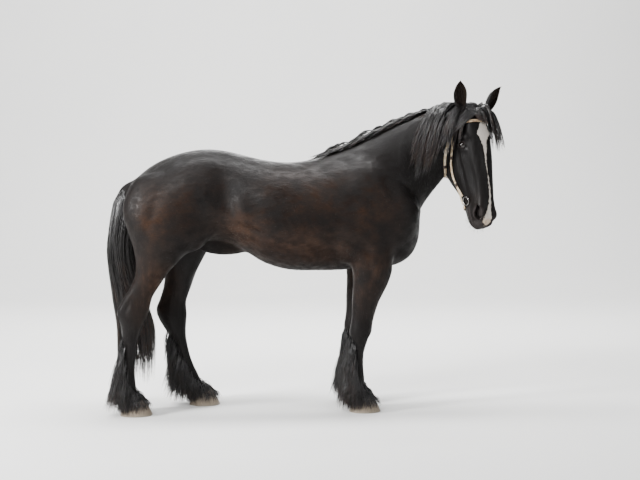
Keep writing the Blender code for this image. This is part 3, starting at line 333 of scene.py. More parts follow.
# Dock of the tail: x, z, radius
DOCK = (
    (-1.120, 1.388, 0.050), (-1.178, 1.396, 0.045), (-1.226, 1.368, 0.039), (-1.256, 1.302, 0.034),
    (-1.268, 1.205, 0.029), (-1.274, 1.095, 0.023), (-1.276, 0.990, 0.014),
)

# Hooves: coronet height and tilt, places, the ground ring's forward shift and half sizes, the
# half sizes at the coronet, steps and points of the wall, its growth rings, and the rings of
# the sole as shares of the edge with their heights
CORONET_Z = 0.078
CORONET_TILT = math.radians(-18)
HOOF_X = {"fore_left": 0.246, "fore_right": 0.246, "hind_left": -0.750, "hind_right": -1.160}
HOOF_Y = 0.160
HOOF_GROUND = (0.020, 0.101, 0.088)
HOOF_TOP = (0.073, 0.073)
HOOF_STEPS = 26
HOOF_POINTS = 64
GROWTH_RINGS = 8
GROWTH_RING_HEIGHT = 0.0003
SOLE = ((0.25, 0.010), (0.70, 0.009), (0.88, 0.002), (0.93, 0.0))

# The white marking from star to snip: distance down the face, place of its middle, half width
MARKING = (
    (0.064, 0.022, 0.010), (0.082, 0.020, 0.026), (0.110, 0.014, 0.035), (0.136, 0.010, 0.046),
    (0.155, 0.008, 0.055), (0.176, 0.002, 0.036), (0.207, -0.004, 0.021), (0.250, -0.003, 0.010),
    (0.324, -0.010, 0.0042), (0.386, -0.005, 0.0034), (0.430, 0.000, 0.0032), (0.478, 0.003, 0.0044),
    (0.539, 0.006, 0.0070), (0.600, -0.002, 0.0090), (0.628, -0.008, 0.014), (0.655, -0.014, 0.027),
    (0.682, -0.016, 0.032), (0.702, -0.014, 0.026), (0.718, -0.012, 0.008),
)
MARKING_EDGE = (-0.0012, 0.0022)

# Long hair: half width and half thickness of a bundle of each kind
MANE_HAIR = (0.0020, 0.0009)
TAIL_HAIR = (0.0021, 0.0010)
FEATHER_HAIR = (0.0016, 0.0008)

# How bundles lie round their guides: spread, depth, shortest share of the length, wave and how
# far the tips gather. The mane's spread is given for each group.
MANE_LIE = (0.012, 0.55, 0.008, 0.55)
FORELOCK_LIE = (0.016, 0.010, 0.55, 0.007, 0.60)
TAIL_LIE = (0.017, 0.016, 0.72, 0.010, 0.35)
FEATHER_LIE = (0.012, 0.018, 0.55, 0.009, 0.0)

# How fast a guide turns from its start to its pull, and how far feather stays off the ground
HAIR_DROOP = 0.42
FEATHER_DROOP = 0.5
FEATHER_LIFT = 0.004

# Mane groups: piece, side, first and last place on the crest, guides, bundles on each, length,
# how far it leans back, how steeply it rises at the root and spread of its bundles
MANE_GROUPS = (
    ("mane_left", 1, 0.04, 0.95, 46, 42, 0.40, 0.40, 0.075, 0.018),
    ("mane_right", -1, 0.73, 0.98, 24, 50, 0.52, 0.24, 0.050, 0.016),
    ("mane_right_front", -1, 0.93, 1.00, 8, 46, 0.36, 0.16, 0.040, 0.014),
    ("mane_right", -1, 0.04, 0.64, 30, 30, 0.22, 2.20, 0.046, 0.014),
)

# Forelock groups: guides, bundles, then root, start way and pull in head directions, length,
# lift and sideways spread of the roots
FORELOCK_GROUPS = (
    (22, 42, (-0.020, 0.026, -0.014), (-0.1, -0.4, -1.1), (0.40, 0.86, -0.34), 0.42, 0.016, 0.020),
    (14, 40, (-0.004, 0.016, 0.014), (0.4, 0.0, -0.9), (0.50, 0.74, -0.46), 0.40, 0.014, 0.014),
    (24, 38, (-0.016, 0.030, 0.050), (-0.3, -0.5, 1.2), (1.00, 0.06, 0.02), 0.30, 0.030, 0.030),
    (14, 34, (-0.016, 0.020, 0.006), (-0.3, -1.0, 0.1), (0.97, -0.10, 0.03), 0.125, 0.008, 0.040),
)

# Tail hair: guides, bundles on each, back and front edge of its fall above and below, half
# width, height of the longest ends, how much shorter the others are, steps of a guide and the
# share of a turn from each guide to the next
TAIL_GUIDES = 92
TAIL_BUNDLES = 42
TAIL_FALL = ((-1.338, -1.195), (-1.255, -1.050))
TAIL_HALF_WIDTH = 0.068
TAIL_END = 0.160
TAIL_SHORTER = 0.30
TAIL_STEPS = 10
GOLDEN_TURN = 0.381966

# Leg feather tiers: height, length, first and last place round the leg in degrees, guides, flare
FEATHER_TIERS = (
    (0.450, 0.15, 145, 215, 12, 0.04),
    (0.415, 0.20, 130, 230, 20, 0.20),
    (0.370, 0.23, 118, 242, 26, 0.38),
    (0.325, 0.25, 104, 256, 30, 0.44),
    (0.285, 0.25, 94, 266, 32, 0.46),
    (0.245, 0.22, 84, 276, 34, 0.44),
    (0.205, 0.19, 70, 290, 34, 0.36),
    (0.170, 0.16, 56, 304, 30, 0.32),
    (0.135, 0.150, -180, 180, 42, 0.14),
    (0.105, 0.115, -180, 180, 32, 0.08),
)
FEATHER_BUNDLES = 8

# The way that the short coat lies
COAT_WAYS = {"body": (-0.85, 0.0, -0.50), "neck": (-0.45, 0.0, -0.85), "leg": (-0.20, 0.0, -1.0)}

# Short coat: tufts in each piece, pieces, half width and half thickness, shortest length, how
# much longer the longest are, how close they stand everywhere, how far they rise and how deep
# their roots lie. Then ear hair, feelers and lashes: how many and how thick.
TUFTS = 4700
TUFT_PIECES = 4
TUFT_HAIR = (0.0005, 0.0002)
TUFT_LENGTH = 0.0075
TUFT_LONGER = 0.0090
TUFT_DENSITY = 0.16
TUFT_RISE = 0.14
ROOT_DEPTH = 0.0012
EAR_HAIRS = 840
EAR_HAIR_SIZE = (0.0007, 0.0004)
WHISKERS = 90
LASHES = 46
UPPER_LASHES = 34
FINE_HAIR = (0.00035, 0.00030)

# Where the coat is brown: centre, half lengths, strength
BROWN_PLACES = (
    ((-0.460, 0.290, 1.120), (0.180, 0.300, 0.180), 0.9),
    ((-0.150, 0.340, 1.030), (0.420, 0.300, 0.150), 0.8),
    ((-0.120, 0.340, 1.330), (0.340, 0.300, 0.180), 0.55),
    ((0.300, 0.220, 0.860), (0.130, 0.200, 0.220), 1.0),
    ((0.300, 0.260, 1.180), (0.150, 0.300, 0.240), 0.7),
    ((-1.030, 0.220, 1.180), (0.120, 0.250, 0.240), 0.9),
    ((-1.040, 0.200, 0.780), (0.120, 0.200, 0.200), 1.0),
    ((-0.780, 0.280, 1.250), (0.240, 0.300, 0.200), 0.5),
)

# Bridle: how far straps lie off the skin, sizes of braids, straps, rings and stitches, and the
# steps of a laid path for round and for flat straps
STRAP_LIFT = 0.0045
BRAID_HALF_WIDTH = 0.0062
BRAID_STRAND = 0.0024
BRAID_PITCH = 0.024
STRAP_HALF_WIDTH = 0.0085
STRAP_THICKNESS = 0.0034
STRAP_EDGE = 0.0009
STRAP_CROWN = 0.0003
RING_RADIUS = 0.026
RING_WIRE = 0.0034
RING_PLACE = (0.548, 0.152, 0.068)
STITCH_PITCH = 0.0055
STITCH = (0.0018, 0.0006, 0.0005)
LAID_STEPS = 90
PLAIN_STEPS = 60

# Knots: places along the straps, rounds of cord, their pitch and thickness. Buckle: its step on
# the throatlatch, half sizes, thickness of the wire and outline in half sizes.
HEADSTALL_KNOTS = (0.30, 0.62, 0.86)
THROATLATCH_KNOT = 0.55
KNOT_ROUNDS = 5
KNOT_PITCH = 0.0042
KNOT_WIRE = 0.0021
BUCKLE_STEP = 9
BUCKLE_HALF = (0.0135, 0.0105)
BUCKLE_WIRE = 0.0021
BUCKLE_CORNERS = (
    (1, 1), (0.6, 1.25), (-0.6, 1.25), (-1, 1), (-1.05, 0),
    (-1, -1), (-0.6, -1.25), (0.6, -1.25), (1, -1), (1.05, 0),
)

# Bridle paths, from the middle or back of the head to one side, in the head frame
HALF_HEADSTALL = (
    (-0.040, 0.092, 0.000), (-0.024, 0.104, 0.045), (0.030, 0.128, 0.085), (0.090, 0.140, 0.098),
    (0.150, 0.150, 0.103), (0.220, 0.168, 0.105), (0.300, 0.198, 0.104), (0.380, 0.212, 0.094),
    (0.450, 0.202, 0.082), (0.512, 0.174, 0.072),
)
HALF_BROWBAND = (
    (0.074, -0.004, 0.000), (0.073, -0.002, 0.030), (0.072, 0.010, 0.070), (0.073, 0.050, 0.092),
    (0.077, 0.106, 0.095),
)
HALF_THROATLATCH = (
    (0.366, 0.346, 0.000), (0.357, 0.348, 0.034), (0.330, 0.344, 0.066), (0.285, 0.316, 0.092),
    (0.235, 0.270, 0.104), (0.190, 0.230, 0.106), (0.152, 0.196, 0.104),
)
HALF_BIT_LOOP = (
    (0.425, 0.207, 0.089), (0.470, 0.204, 0.081), (0.520, 0.202, 0.072), (0.562, 0.196, 0.064),
)
HALF_CURB = (
    (0.590, 0.236, 0.000), (0.589, 0.229, 0.028), (0.585, 0.204, 0.052), (0.580, 0.176, 0.062),
)

# Noise in the coat: its scale on the body and on the legs, lean in degrees, detail, roughness
STRAND_NOISE = ((60.0, 420.0, 420.0), (420.0, 420.0, 60.0), -30, 2.0, 0.55)
PATCH_NOISE = ((12.0, 24.0, 20.0), (26.0, 26.0, 10.0), -50, 4.0, 0.6)
CLUMP_NOISE = ((22.0, 130.0, 130.0), (130.0, 130.0, 22.0), -30, 3.0, 0.55)

# Colours
BLACK_COAT = (0.0050, 0.0043, 0.0042)
BROWN_COAT = (0.036, 0.018, 0.0105)
DARK_SKIN = (0.014, 0.012, 0.012)
DARK_SKIN_LIGHT = (0.034, 0.028, 0.027)
EAR_INSIDE = (0.014, 0.009, 0.007)
EAR_HAIR = (0.024, 0.015, 0.010)
WHITE_HAIR = (0.66, 0.62, 0.57)
WHITE_SHADE = (0.34, 0.29, 0.25)
PINK_SKIN = (0.36, 0.24, 0.18)
PALE_SKIN = (0.46, 0.37, 0.27)
HAIR_ROOT = (0.0060, 0.0052, 0.0050)
HAIR_TIP = (0.070, 0.030, 0.015)
PUPIL = (0.0015, 0.0015, 0.0020)
IRIS_DARK = (0.005, 0.0026, 0.0016)
IRIS_LIGHT = (0.016, 0.008, 0.004)
EYE_RIM = (0.008, 0.006, 0.006)
HORN_PALE = (0.27, 0.22, 0.16)
HORN_DARK = (0.135, 0.112, 0.092)
HORN_RING = (0.17, 0.14, 0.11)
HORN_STREAK = (0.075, 0.060, 0.050)
DUST = (0.27, 0.235, 0.19)
RAWHIDE = (0.74, 0.64, 0.48)
RAWHIDE_DARK = (0.30, 0.20, 0.11)
TAN_LEATHER = (0.50, 0.36, 0.22)
TAN_DARK = (0.20, 0.12, 0.065)
KNOT_LEATHER = (0.050, 0.028, 0.018)
KNOT_DARK = (0.016, 0.010, 0.008)
THREAD = (0.66, 0.60, 0.50)
THREAD_DARK = (0.34, 0.28, 0.20)
STEEL = (0.34, 0.33, 0.32)
STEEL_DULL = (0.16, 0.15, 0.14)
FLOOR_LOW = (0.70, 0.70, 0.69)
FLOOR_HIGH = (0.76, 0.755, 0.74)
SKY = (0.90, 0.94, 1.0)
SKY_STRENGTH = 0.15

# Stage: the floor's ends and half width, the backdrop's bend and height
FLOOR_FRONT = -14.0
FLOOR_BACK = 7.0
FLOOR_HALF_WIDTH = 24.0
BACKDROP_BEND = 5.0
BACKDROP_HEIGHT = 16.0

# Lights: name, place, what they face, size and power
LIGHTS = (
    ("key", (-2.4, -4.4, 4.8), (0.0, 0.0, 1.1), (2.0, 1.1), 380),
    ("side", (-5.2, -2.2, 3.0), (-0.1, 0.0, 1.1), (0.9, 1.2), 640),
    ("fill", (4.4, -4.2, 2.6), (0.3, 0.0, 1.2), (1.2, 1.8), 90),
    ("top", (0.0, 0.2, 5.0), (0.0, 0.0, 1.0), (4.0, 1.0), 400),
    ("back", (0.5, 4.5, 3.6), (0.0, 0.0, 1.2), (4.0, 1.2), 130),
    ("backdrop", (0.0, 3.2, 7.0), (0.0, 10.0, 2.0), (14.0, 3.0), 2600),
)

# Camera
FOCAL_PIXELS = 1103.0
PHOTO_WIDTH = 640.0
PHOTO_HEIGHT = 480.0
HORIZON_ROW = 194.0
CAMERA_YAW = math.radians(5)
CAMERA_DISTANCE = 7.0
CAMERA_HEIGHT = 1.35


def smoothstep(low, high, value):
    """0 below the low edge, 1 above the high one, smooth between them."""
    t = np.clip((value - low) / (high - low), 0.0, 1.0)
    return t * t * (3 - 2 * t)


def bell(value, centre, reach):
    """1 at the centre, falling smoothly to 0 on both sides of it."""
    return np.exp(-((value - centre) / reach) ** 2)


def spline(knots, share):
    """A point on the smooth curve through the knots, for a share from 0 to 1."""
    place = min(max(share, 0.0), 1.0) * (len(knots) - 1)
    index = min(int(place), len(knots) - 2)
    t = place - index
    a = knots[max(index - 1, 0)]
    b, c = knots[index], knots[index + 1]
    d = knots[min(index + 2, len(knots) - 1)]
    return tuple(
        0.5 * (2 * q + (r - p) * t + (2 * p - 5 * q + 4 * r - s) * t * t
               + (3 * q - p - 3 * r + s) * t ** 3)
        for p, q, r, s in zip(a, b, c, d)
    )


def refined(knots, steps):
    """The knots with smooth steps between them."""
    count = (len(knots) - 1) * steps
    return [spline(knots, i / count) for i in range(count + 1)]


def head_axes():
    """Unit vectors of the head: down the face, back to the jaw, and to its left."""
    facing = Vector((math.cos(HEAD_TURN), -math.sin(HEAD_TURN), 0.0))
    down = facing * math.sin(NOSE_OUT) - Vector((0, 0, 1)) * math.cos(NOSE_OUT)
    back = -facing * math.cos(NOSE_OUT) - Vector((0, 0, 1)) * math.sin(NOSE_OUT)
    left = Vector((-facing.y, facing.x, 0.0))
    return down, back, left


HEAD_DOWN, HEAD_BACK, HEAD_LEFT = head_axes()


def on_head(down, back, left):
    """A point given in the head's own frame."""
    return POLL + HEAD_DOWN * down + HEAD_BACK * back + HEAD_LEFT * left


def head_matrix(down, back, left):
    """A frame on the head: X to its left, Y out through the face, Z up to the poll."""
    turn = Matrix((HEAD_LEFT, -HEAD_BACK, -HEAD_DOWN)).transposed().to_4x4()
    return Matrix.Translation(on_head(down, back, left)) @ turn


def in_head(points):
    """Points as columns of the head's own frame: down, back, left."""
    rel = points - np.array(POLL)
    return np.stack([rel @ np.array(way) for way in (HEAD_DOWN, HEAD_BACK, HEAD_LEFT)], axis=1)


def head_distance(points):
    """How far each point is from the middle of the head."""
    return np.linalg.norm(points - np.array(on_head(*HEAD_MIDDLE)), axis=1)


def folded(points):
    """The points with those of the right side mirrored onto the left one."""
    made = points.copy()
    made[:, 1] = np.abs(made[:, 1])
    return made


def link(mesh, name):
    """An object for a mesh, linked to the scene."""
    made = bpy.data.objects.new(name, mesh)
    bpy.context.scene.collection.objects.link(made)
    return made


def object_from(bm, name):
    """Turns a bmesh into an object, faces pointing out."""
    bmesh.ops.recalc_face_normals(bm, faces=bm.faces)
    mesh = bpy.data.meshes.new(name)
    bm.to_mesh(mesh)
    bm.free()
    return link(mesh, name)


def discard(*objects):
    """Removes helper objects that nothing needs any more."""
    for item in objects:
        bpy.data.objects.remove(item)


def evaluated_copy(source, name):
    """A new object that holds the source's mesh with its modifiers applied."""
    bpy.context.view_layer.update()
    graph = bpy.context.evaluated_depsgraph_get()
    return link(bpy.data.meshes.new_from_object(source.evaluated_get(graph)), name)


def points_of(mesh):
    """The places of a mesh's vertices, as rows."""
    found = np.empty(len(mesh.vertices) * 3, np.float64)
    mesh.vertices.foreach_get("co", found)
    return found.reshape(-1, 3)


def normals_of(mesh):
    """The normals of a mesh's vertices, as rows."""
    found = np.empty(len(mesh.vertices) * 3, np.float64)
    mesh.vertex_normals.foreach_get("vector", found)
    return found.reshape(-1, 3)


def set_points(mesh, points):
    """Moves a mesh's vertices."""
    mesh.vertices.foreach_set("co", points.ravel())
    mesh.update()


def add_attribute(mesh, name, values):
    """Stores a value for each vertex, for the materials to read."""
    made = mesh.attributes.new(name, "FLOAT", "POINT")
    made.data.foreach_set("value", np.asarray(values, np.float32))


def circle(count):
    """Cosine and sine of evenly spaced angles, once round."""
    angles = (2 * math.pi * i / count for i in range(count))
    return [(math.cos(angle), math.sin(angle)) for angle in angles]


def oval(centre, across, up, down, fullness_up=2.0, fullness_down=2.0):
    """A ring of points: a rounded oval whose upper and lower halves differ."""
    ring = []
    for c, s in circle(RING_POINTS):
        power = 2.0 / (fullness_up if s >= 0 else fullness_down)
        x = math.copysign(abs(c) ** power, c)
        y = abs(s) ** power
        ring.append(centre + across * x + (up if s >= 0 else down) * y)
    return ring


def bridge(bm, low, high):
    """Faces between two rings of vertices."""
    count = len(low)
    for i in range(count):
        j = (i + 1) % count
        bm.faces.new((low[i], low[j], high[j], high[i]))


def loft(name, rings, endless=False):
    """A solid through a row of rings, closed by its end faces or bent round into itself."""
    bm = bmesh.new()
    rows = [[bm.verts.new(point) for point in ring] for ring in rings]
    for low, high in zip(rows, rows[1:]):
        bridge(bm, low, high)
    if endless:
        bridge(bm, rows[-1], rows[0])
    else:
        bm.faces.new(rows[0])
        bm.faces.new(rows[-1])
    return object_from(bm, name)


def ball(name, matrix):
    """A unit sphere placed and stretched by a matrix."""
    bm = bmesh.new()
    bmesh.ops.create_uvsphere(bm, u_segments=2 * BALL_RINGS, v_segments=BALL_RINGS,
                              radius=1.0, matrix=matrix)
    return object_from(bm, name)


def ellipsoid(centre, half_lengths, turn=0.0):
    """A stretched sphere, turned about Y by some degrees."""
    return ball("mass", Matrix.Translation(centre) @ Matrix.Rotation(math.radians(turn), 4, "Y")
                @ Matrix.Diagonal((*half_lengths, 1.0)))


def trunk_solid():
    """The barrel with chest, loin and croup."""
    rings = []
    for x, top, widest, bottom, half, full_up, full_down in refined(TRUNK, 3):
        rings.append(oval(Vector((x, 0, widest)), Vector((0, half, 0)),
                          Vector((0, 0, top - widest)), Vector((0, 0, bottom - widest)),
                          full_up, full_down))
    return loft("trunk", rings)


def neck_solid():
    """The neck, bent to the right on its way to the poll."""
    flat = [(*crest, *throat, half) for crest, throat, half in NECK]
    rows = refined(flat, 3)
    centres = [(Vector(r[0:3]) + Vector(r[3:6])) / 2 for r in rows]
    rings = []
    for i, row in enumerate(rows):
        rise = (Vector(row[0:3]) - Vector(row[3:6])) / 2
        ahead = centres[min(i + 1, len(rows) - 1)] - centres[max(i - 1, 0)]
        across = rise.cross(ahead).normalized() * row[6]
        rings.append(oval(centres[i], across, rise, -rise, 1.75, 2.1))
    return loft("neck", rings)


def head_ring(row):
    """One head section: a smooth closed curve through its named half widths."""
    down, face, jaw = row[:3]
    half = [(face, 0.0)]
    half += [(face + (jaw - face) * d, w) for d, w in zip(WIDTH_DEPTHS, row[3:])]
    half.append((jaw, 0.0))
    closed = half + [(b, -w) for b, w in reversed(half[1:-1])]
    count = len(closed)
    ring = []
    for i in range(RING_POINTS):
        place = i * count / RING_POINTS
        index = int(place)
        knots = [closed[(index + k) % count] for k in (-1, 0, 1, 2)]
        back, left = spline(knots, (1 + place - index) / 3)
        ring.append(on_head(down, back, left))
    return ring


def head_solids():
    """The skull and muzzle with brows, cheeks, nostril wings, lips and chin."""
    made = [loft("skull", [head_ring(row) for row in refined(HEAD, 3)])]
    for (down, back, left), half_lengths in HEAD_MASSES:
        for side in (1, -1):
            frame = head_matrix(down, back, left * side) @ Matrix.Diagonal((*half_lengths, 1.0))
            made.append(ball("head_mass", frame))
    made.append(ball("chin", head_matrix(*CHIN[0]) @ Matrix.Diagonal((*CHIN[1], 1.0))))
    return made


def leg_rows(kind, side):
    """The sections of a leg: x, z, half depth, half width, distance from the middle plane."""
    if kind == "fore":
        return FORELEG
    return tuple((*place, *size) for place, size in zip(HIND_PATH[side], HIND_SIZES))


def leg_solid(kind, side):
    """A leg lofted through level ovals. Side is 1 for the left and -1 for the right."""
    rings = []
    for x, z, depth, half, out in refined(leg_rows(kind, side), 2):
        centre = Vector((x, side * out, z))
        rings.append(oval(centre, Vector((depth, 0, 0)), Vector((0, half, 0)), Vector((0, -half, 0))))
    return loft("leg", rings)


def dock_solid():
    """The fleshy root of the tail."""
    rows = refined(DOCK, 3)
    rings = []
    for i, (x, z, radius) in enumerate(rows):
        low, high = rows[max(i - 1, 0)], rows[min(i + 1, len(rows) - 1)]
        ahead = Vector((high[0] - low[0], 0, high[1] - low[1])).normalized()
        up = Vector((-ahead.z, 0, ahead.x)) * radius
        rings.append(oval(Vector((x, 0, z)), Vector((0, radius, 0)), up, -up))
    return loft("dock", rings)


def ear_solid(side):
    """One cupped ear with a thin rim, its base sunk in the head."""
    root, axis, open_way = ear_frame(side)
    across = axis.cross(open_way)
    profile = refined(EAR_PROFILE, 4)
    profile = [(-EAR_SUNK, profile[0][1], profile[0][2])] + profile
    rings = []
    for share, half, arc in profile:
        lean = open_way * 0.010 * math.sin(math.pi * max(share, 0.0))
        centre = root + axis * EAR_LENGTH * share - lean
        row = []
        for radius, turns in ((half, range(17)), (half - EAR_THICKNESS, reversed(range(17)))):
            for i in turns:
                angle = math.pi + math.radians(arc) * (i / 8 - 1)
                row.append(centre + open_way * math.cos(angle) * max(radius, 0.0008) * EAR_FLATNESS
                           + across * math.sin(angle) * max(radius, 0.0008))
        rings.append(row)
    return loft("ear", rings)


def weight_group(item, name, weights):
    """A vertex group with weights in twenty steps."""
    group = item.vertex_groups.new(name=name)
    levels = np.round(np.clip(weights, 0, 1) * 20).astype(int)
    for level in range(1, 21):
        chosen = np.nonzero(levels == level)[0].tolist()
        if chosen:
            group.add(chosen, level / 20, "REPLACE")


def fused_skin():
    """One smooth closed skin over the overlapping solids of the body."""
    solids = [trunk_solid(), neck_solid(), dock_solid(), ellipsoid(*SHEATH), *head_solids()]
    for side in (1, -1):
        solids += [leg_solid("fore", side), leg_solid("hind", side)]
        for (x, y, z), half_lengths, turn in MASSES:
            solids.append(ellipsoid((x, side * y, z), half_lengths, turn))
    bm = bmesh.new()
    for item in solids:
        bm.from_mesh(item.data)
    rough = object_from(bm, "rough")
    remesh = rough.modifiers.new("skin", "REMESH")
    remesh.mode = "VOXEL"
    remesh.voxel_size = SKIN_VOXEL
    full = evaluated_copy(rough, "full")
    weigh_smoothing(full)
    for passes, group in ((SMOOTH_PASSES, ""), (SOFT_PASSES, "soft"), (BLEND_PASSES, "blend")):
        smooth = full.modifiers.new("blend", "SMOOTH")
        smooth.factor = 0.5
        smooth.iterations = passes
        smooth.vertex_group = group
    made = evaluated_copy(full, "skin")
    discard(rough, full, *solids)
    return made


def weigh_smoothing(skin):
    """Marks where the skin is softened: the trunk, and most where its masses meet."""
    points = points_of(skin.data)
    head = head_distance(points) < HEAD_REACH
    near = [1.3 * np.exp(-((folded(points) - np.array(place)) ** 2).sum(axis=1) / reach ** 2)
            for place, reach in BLENDS]
    weight_group(skin, "soft", np.where(head, 0.0, (points[:, 2] - SOFT_FROM) * 6))
    weight_group(skin, "blend", np.where(head, 0.0, np.max(near, axis=0) - 0.1))


def add_ears(skin):
    """Fuses both ears to the skin."""
    for side in (1, -1):
        ear = ear_solid(side)
        union = skin.modifiers.new("ear", "BOOLEAN")
        union.operation = "UNION"
        union.solver = "MANIFOLD"
        union.object = ear
        fresh = evaluated_copy(skin, "skin")
        discard(ear, skin)
        skin = fresh
    return skin


def eye_frame(side):
    """The middle of an eye with its slit, upward and outward ways."""
    down, back, left = EYE_PLACE
    out = (HEAD_LEFT * side - HEAD_BACK * EYE_FORWARD).normalized()
    along = -HEAD_BACK * math.cos(EYE_SLANT) + HEAD_DOWN * math.sin(EYE_SLANT)
    along = (along - out * along.dot(out)).normalized()
    up = out.cross(along) * side
    if up.dot(HEAD_DOWN) > 0:
        up = -up
    return on_head(down, back, left * side), along, up, out


def nostril_frame(side):
    """The middle of a nostril with its cross, upward and outward ways."""
    facing = (HEAD_LEFT * side - HEAD_BACK * 0.75 + HEAD_DOWN * 0.15).normalized()
    rise = -HEAD_DOWN * math.cos(NOSTRIL_SLANT) - HEAD_BACK * math.sin(NOSTRIL_SLANT)
    rise = (rise - facing * rise.dot(facing)).normalized()
    across = rise.cross(facing) * side
    down, back, left = NOSTRIL_PLACE
    return on_head(down, back, left * side), across, rise, facing


def refine_region(bm, wanted):
    """Splits the faces whose middle the test wants, then evens them."""
    faces = [f for f in bm.faces if wanted(f.calc_center_median())]
    edges = list({e for f in faces for e in f.edges})
    bmesh.ops.subdivide_edges(bm, edges=edges, cuts=1, use_grid_fill=True)
    verts = list({v for f in bm.faces if wanted(f.calc_center_median()) for v in f.verts})
    bmesh.ops.smooth_vert(bm, verts=verts, factor=0.5,
                          use_axis_x=True, use_axis_y=True, use_axis_z=True)


def refine_head(skin):
    """Makes the skin finer on the head, and finest round the eyes, nostrils and mouth."""
    middle = on_head(*FINE_MIDDLE)
    eyes = [eye_frame(side)[0] for side in (1, -1)]
    nostrils = [nostril_frame(side)[0] for side in (1, -1)]
    lips = on_head(*LIPS)

    def on_the_head(p):
        """Tests for the head in front of the neck."""
        above = max(0.0, (middle - p).dot(HEAD_DOWN))
        return ((p - middle).length < FINE_REACH and p.z > 1.10
                and (p - middle).dot(HEAD_BACK) < 0.22 - 0.25 * above)

    def close_to(p, spots, reach):
        """Tests for places within reach of any of the spots."""
        return min((p - spot).length for spot in spots) < reach

    bm = bmesh.new()
    bm.from_mesh(skin.data)
    refine_region(bm, on_the_head)
    refine_region(bm, lambda p: (close_to(p, eyes + nostrils, FINER_REACH)
                                 or close_to(p, [lips], LIPS_REACH)))
    refine_region(bm, lambda p: (close_to(p, eyes, FINEST_REACH["eyes"])
                                 or close_to(p, nostrils, FINEST_REACH["nostrils"])))
    bm.to_mesh(skin.data)
    bm.free()


def body_relief(points):
    """How far each point of the body stands out for muscles, bones and ribs."""
    height = np.zeros(len(points))
    places = folded(points)
    for centre, half_lengths, turn, rise in RELIEF:
        rel = places - np.array(centre)
        c, s = math.cos(math.radians(turn)), math.sin(math.radians(turn))
        x = rel[:, 0] * c - rel[:, 2] * s
        z = rel[:, 0] * s + rel[:, 2] * c
        a, b, h = half_lengths
        height += rise * np.exp(-(x / a) ** 2 - (rel[:, 1] / b) ** 2 - (z / h) ** 2)
    x, y, z = places.T
    ribs = np.cos(2 * math.pi * (x + 0.35 * (z - 1.2)) / RIB_SPACING)
    return height + RIB_HEIGHT * ribs * bell(x, -0.22, 0.16) * bell(z, 1.16, 0.13) * (y > 0.2)


def head_relief(points):
    """How far each point of the head stands out for bones, hollows and cheeks."""
    local = in_head(points)
    local[:, 2] = np.abs(local[:, 2])
    height = np.zeros(len(points))
    for place, half_lengths, rise in HEAD_RELIEF:
        rel = (local - np.array(place)) / np.array(half_lengths)
        height += rise * np.exp(-(rel ** 2).sum(axis=1))
    return height


def leg_relief(points):
    """Tendons, joints and the hollow between cannon bone and tendon."""
    height = np.zeros(len(points))
    x, y, z = points.T
    for kind in ("fore", "hind"):
        top = CANNON_TOP[kind]
        cannon = smoothstep(CANNON_BOTTOM, CANNON_BOTTOM + 0.05, z)
        cannon = cannon * (1 - smoothstep(top - 0.05, top, z))
        for side in (1, -1):
            rows = np.array(sorted(leg_rows(kind, side), key=lambda row: row[1]))
            middle = np.interp(z, rows[:, 1], rows[:, 0])
            share = (x - middle) / np.interp(z, rows[:, 1], rows[:, 2])
            found = sum(cannon * rise * bell(share, at, wide) for at, wide, rise in CANNON_RELIEF)
            for low, reach, at, wide, rise in JOINT_RELIEF[kind]:
                found = found + rise * bell(z, low, reach) * bell(share, at, wide)
            here = (y * side > 0) & (np.abs(x - middle) < LEG_REACH) & (z < LEG_TOP)
            height += np.where(here, found, 0.0)
    return height


def shape_lids(points):
    """Wraps the skin round each eyeball as two lids with creases, open along the slit."""
    for side in (1, -1):
        centre, along, up, out = (np.array(v) for v in eye_frame(side))
        rel = points - centre
        a, b, c = rel @ along, rel @ up, rel @ out
        distance = np.linalg.norm(rel, axis=1)
        half_a, half_up, half_low = EYE_OPENING
        half_b = np.where(b > 0, half_up, half_low)
        powers = np.abs(a / half_a) ** SLIT_POWER + np.abs(b / half_b) ** SLIT_POWER
        round_off = powers ** (1 / SLIT_POWER)
        lid = EYE_RADIUS + LID_THICKNESS * (0.70 + 0.45 * smoothstep(1.0, 1.25, round_off))
        crease = bell(round_off, 1.75, 0.10) + 0.6 * bell(round_off, 2.15, 0.10)
        lid = lid - 0.0022 * crease * smoothstep(-0.004, 0.006, b)
        inside = EYE_RADIUS - 0.0040
        target = np.where(round_off < 1.0, inside, lid)
        near = (c > -0.004) & (distance < 0.06)
        hold = np.where(near, 1 - smoothstep(1.45, 2.7, round_off), 0.0)
        radius = distance + (target - distance) * hold
        points = centre + rel * (radius / np.maximum(distance, 1e-6))[:, None]
    return points


def shape_nostrils(points):
    """Sinks a comma-shaped nostril with a raised rim on each side of the muzzle."""
    for side in (1, -1):
        centre, across, rise, facing = (np.array(v) for v in nostril_frame(side))
        rel = points - centre
        x, y, c = rel @ across, rel @ rise, rel @ facing
        t = y / NOSTRIL_HALF
        middle = 0.010 * t * t * np.sign(t) - 0.004
        width = NOSTRIL_WIDTH * np.sqrt(np.clip(1 - np.clip(t, -1, 1) ** 2, 0, 1)) * (1 - 0.35 * t)
        beyond = np.maximum(np.abs(t) - 1, 0) * NOSTRIL_HALF
        edge = np.hypot(np.maximum(np.abs(x - middle) - width, 0), beyond)
        edge = np.where((np.abs(x - middle) < width) & (np.abs(t) < 1), np.abs(x - middle) - width, edge)
        near = (c > -0.035) & (np.linalg.norm(rel, axis=1) < 0.06)
        sink = (1 - smoothstep(-0.0075, 0.0020, edge)) * NOSTRIL_DEPTH
        rim = 0.0036 * bell(edge, 0.0055, 0.0045)
        way = rise * 0.35 - facing
        moved = way * np.where(near, sink, 0.0)[:, None] + facing * np.where(near, rim, 0.0)[:, None]
        points = points + moved
    return points


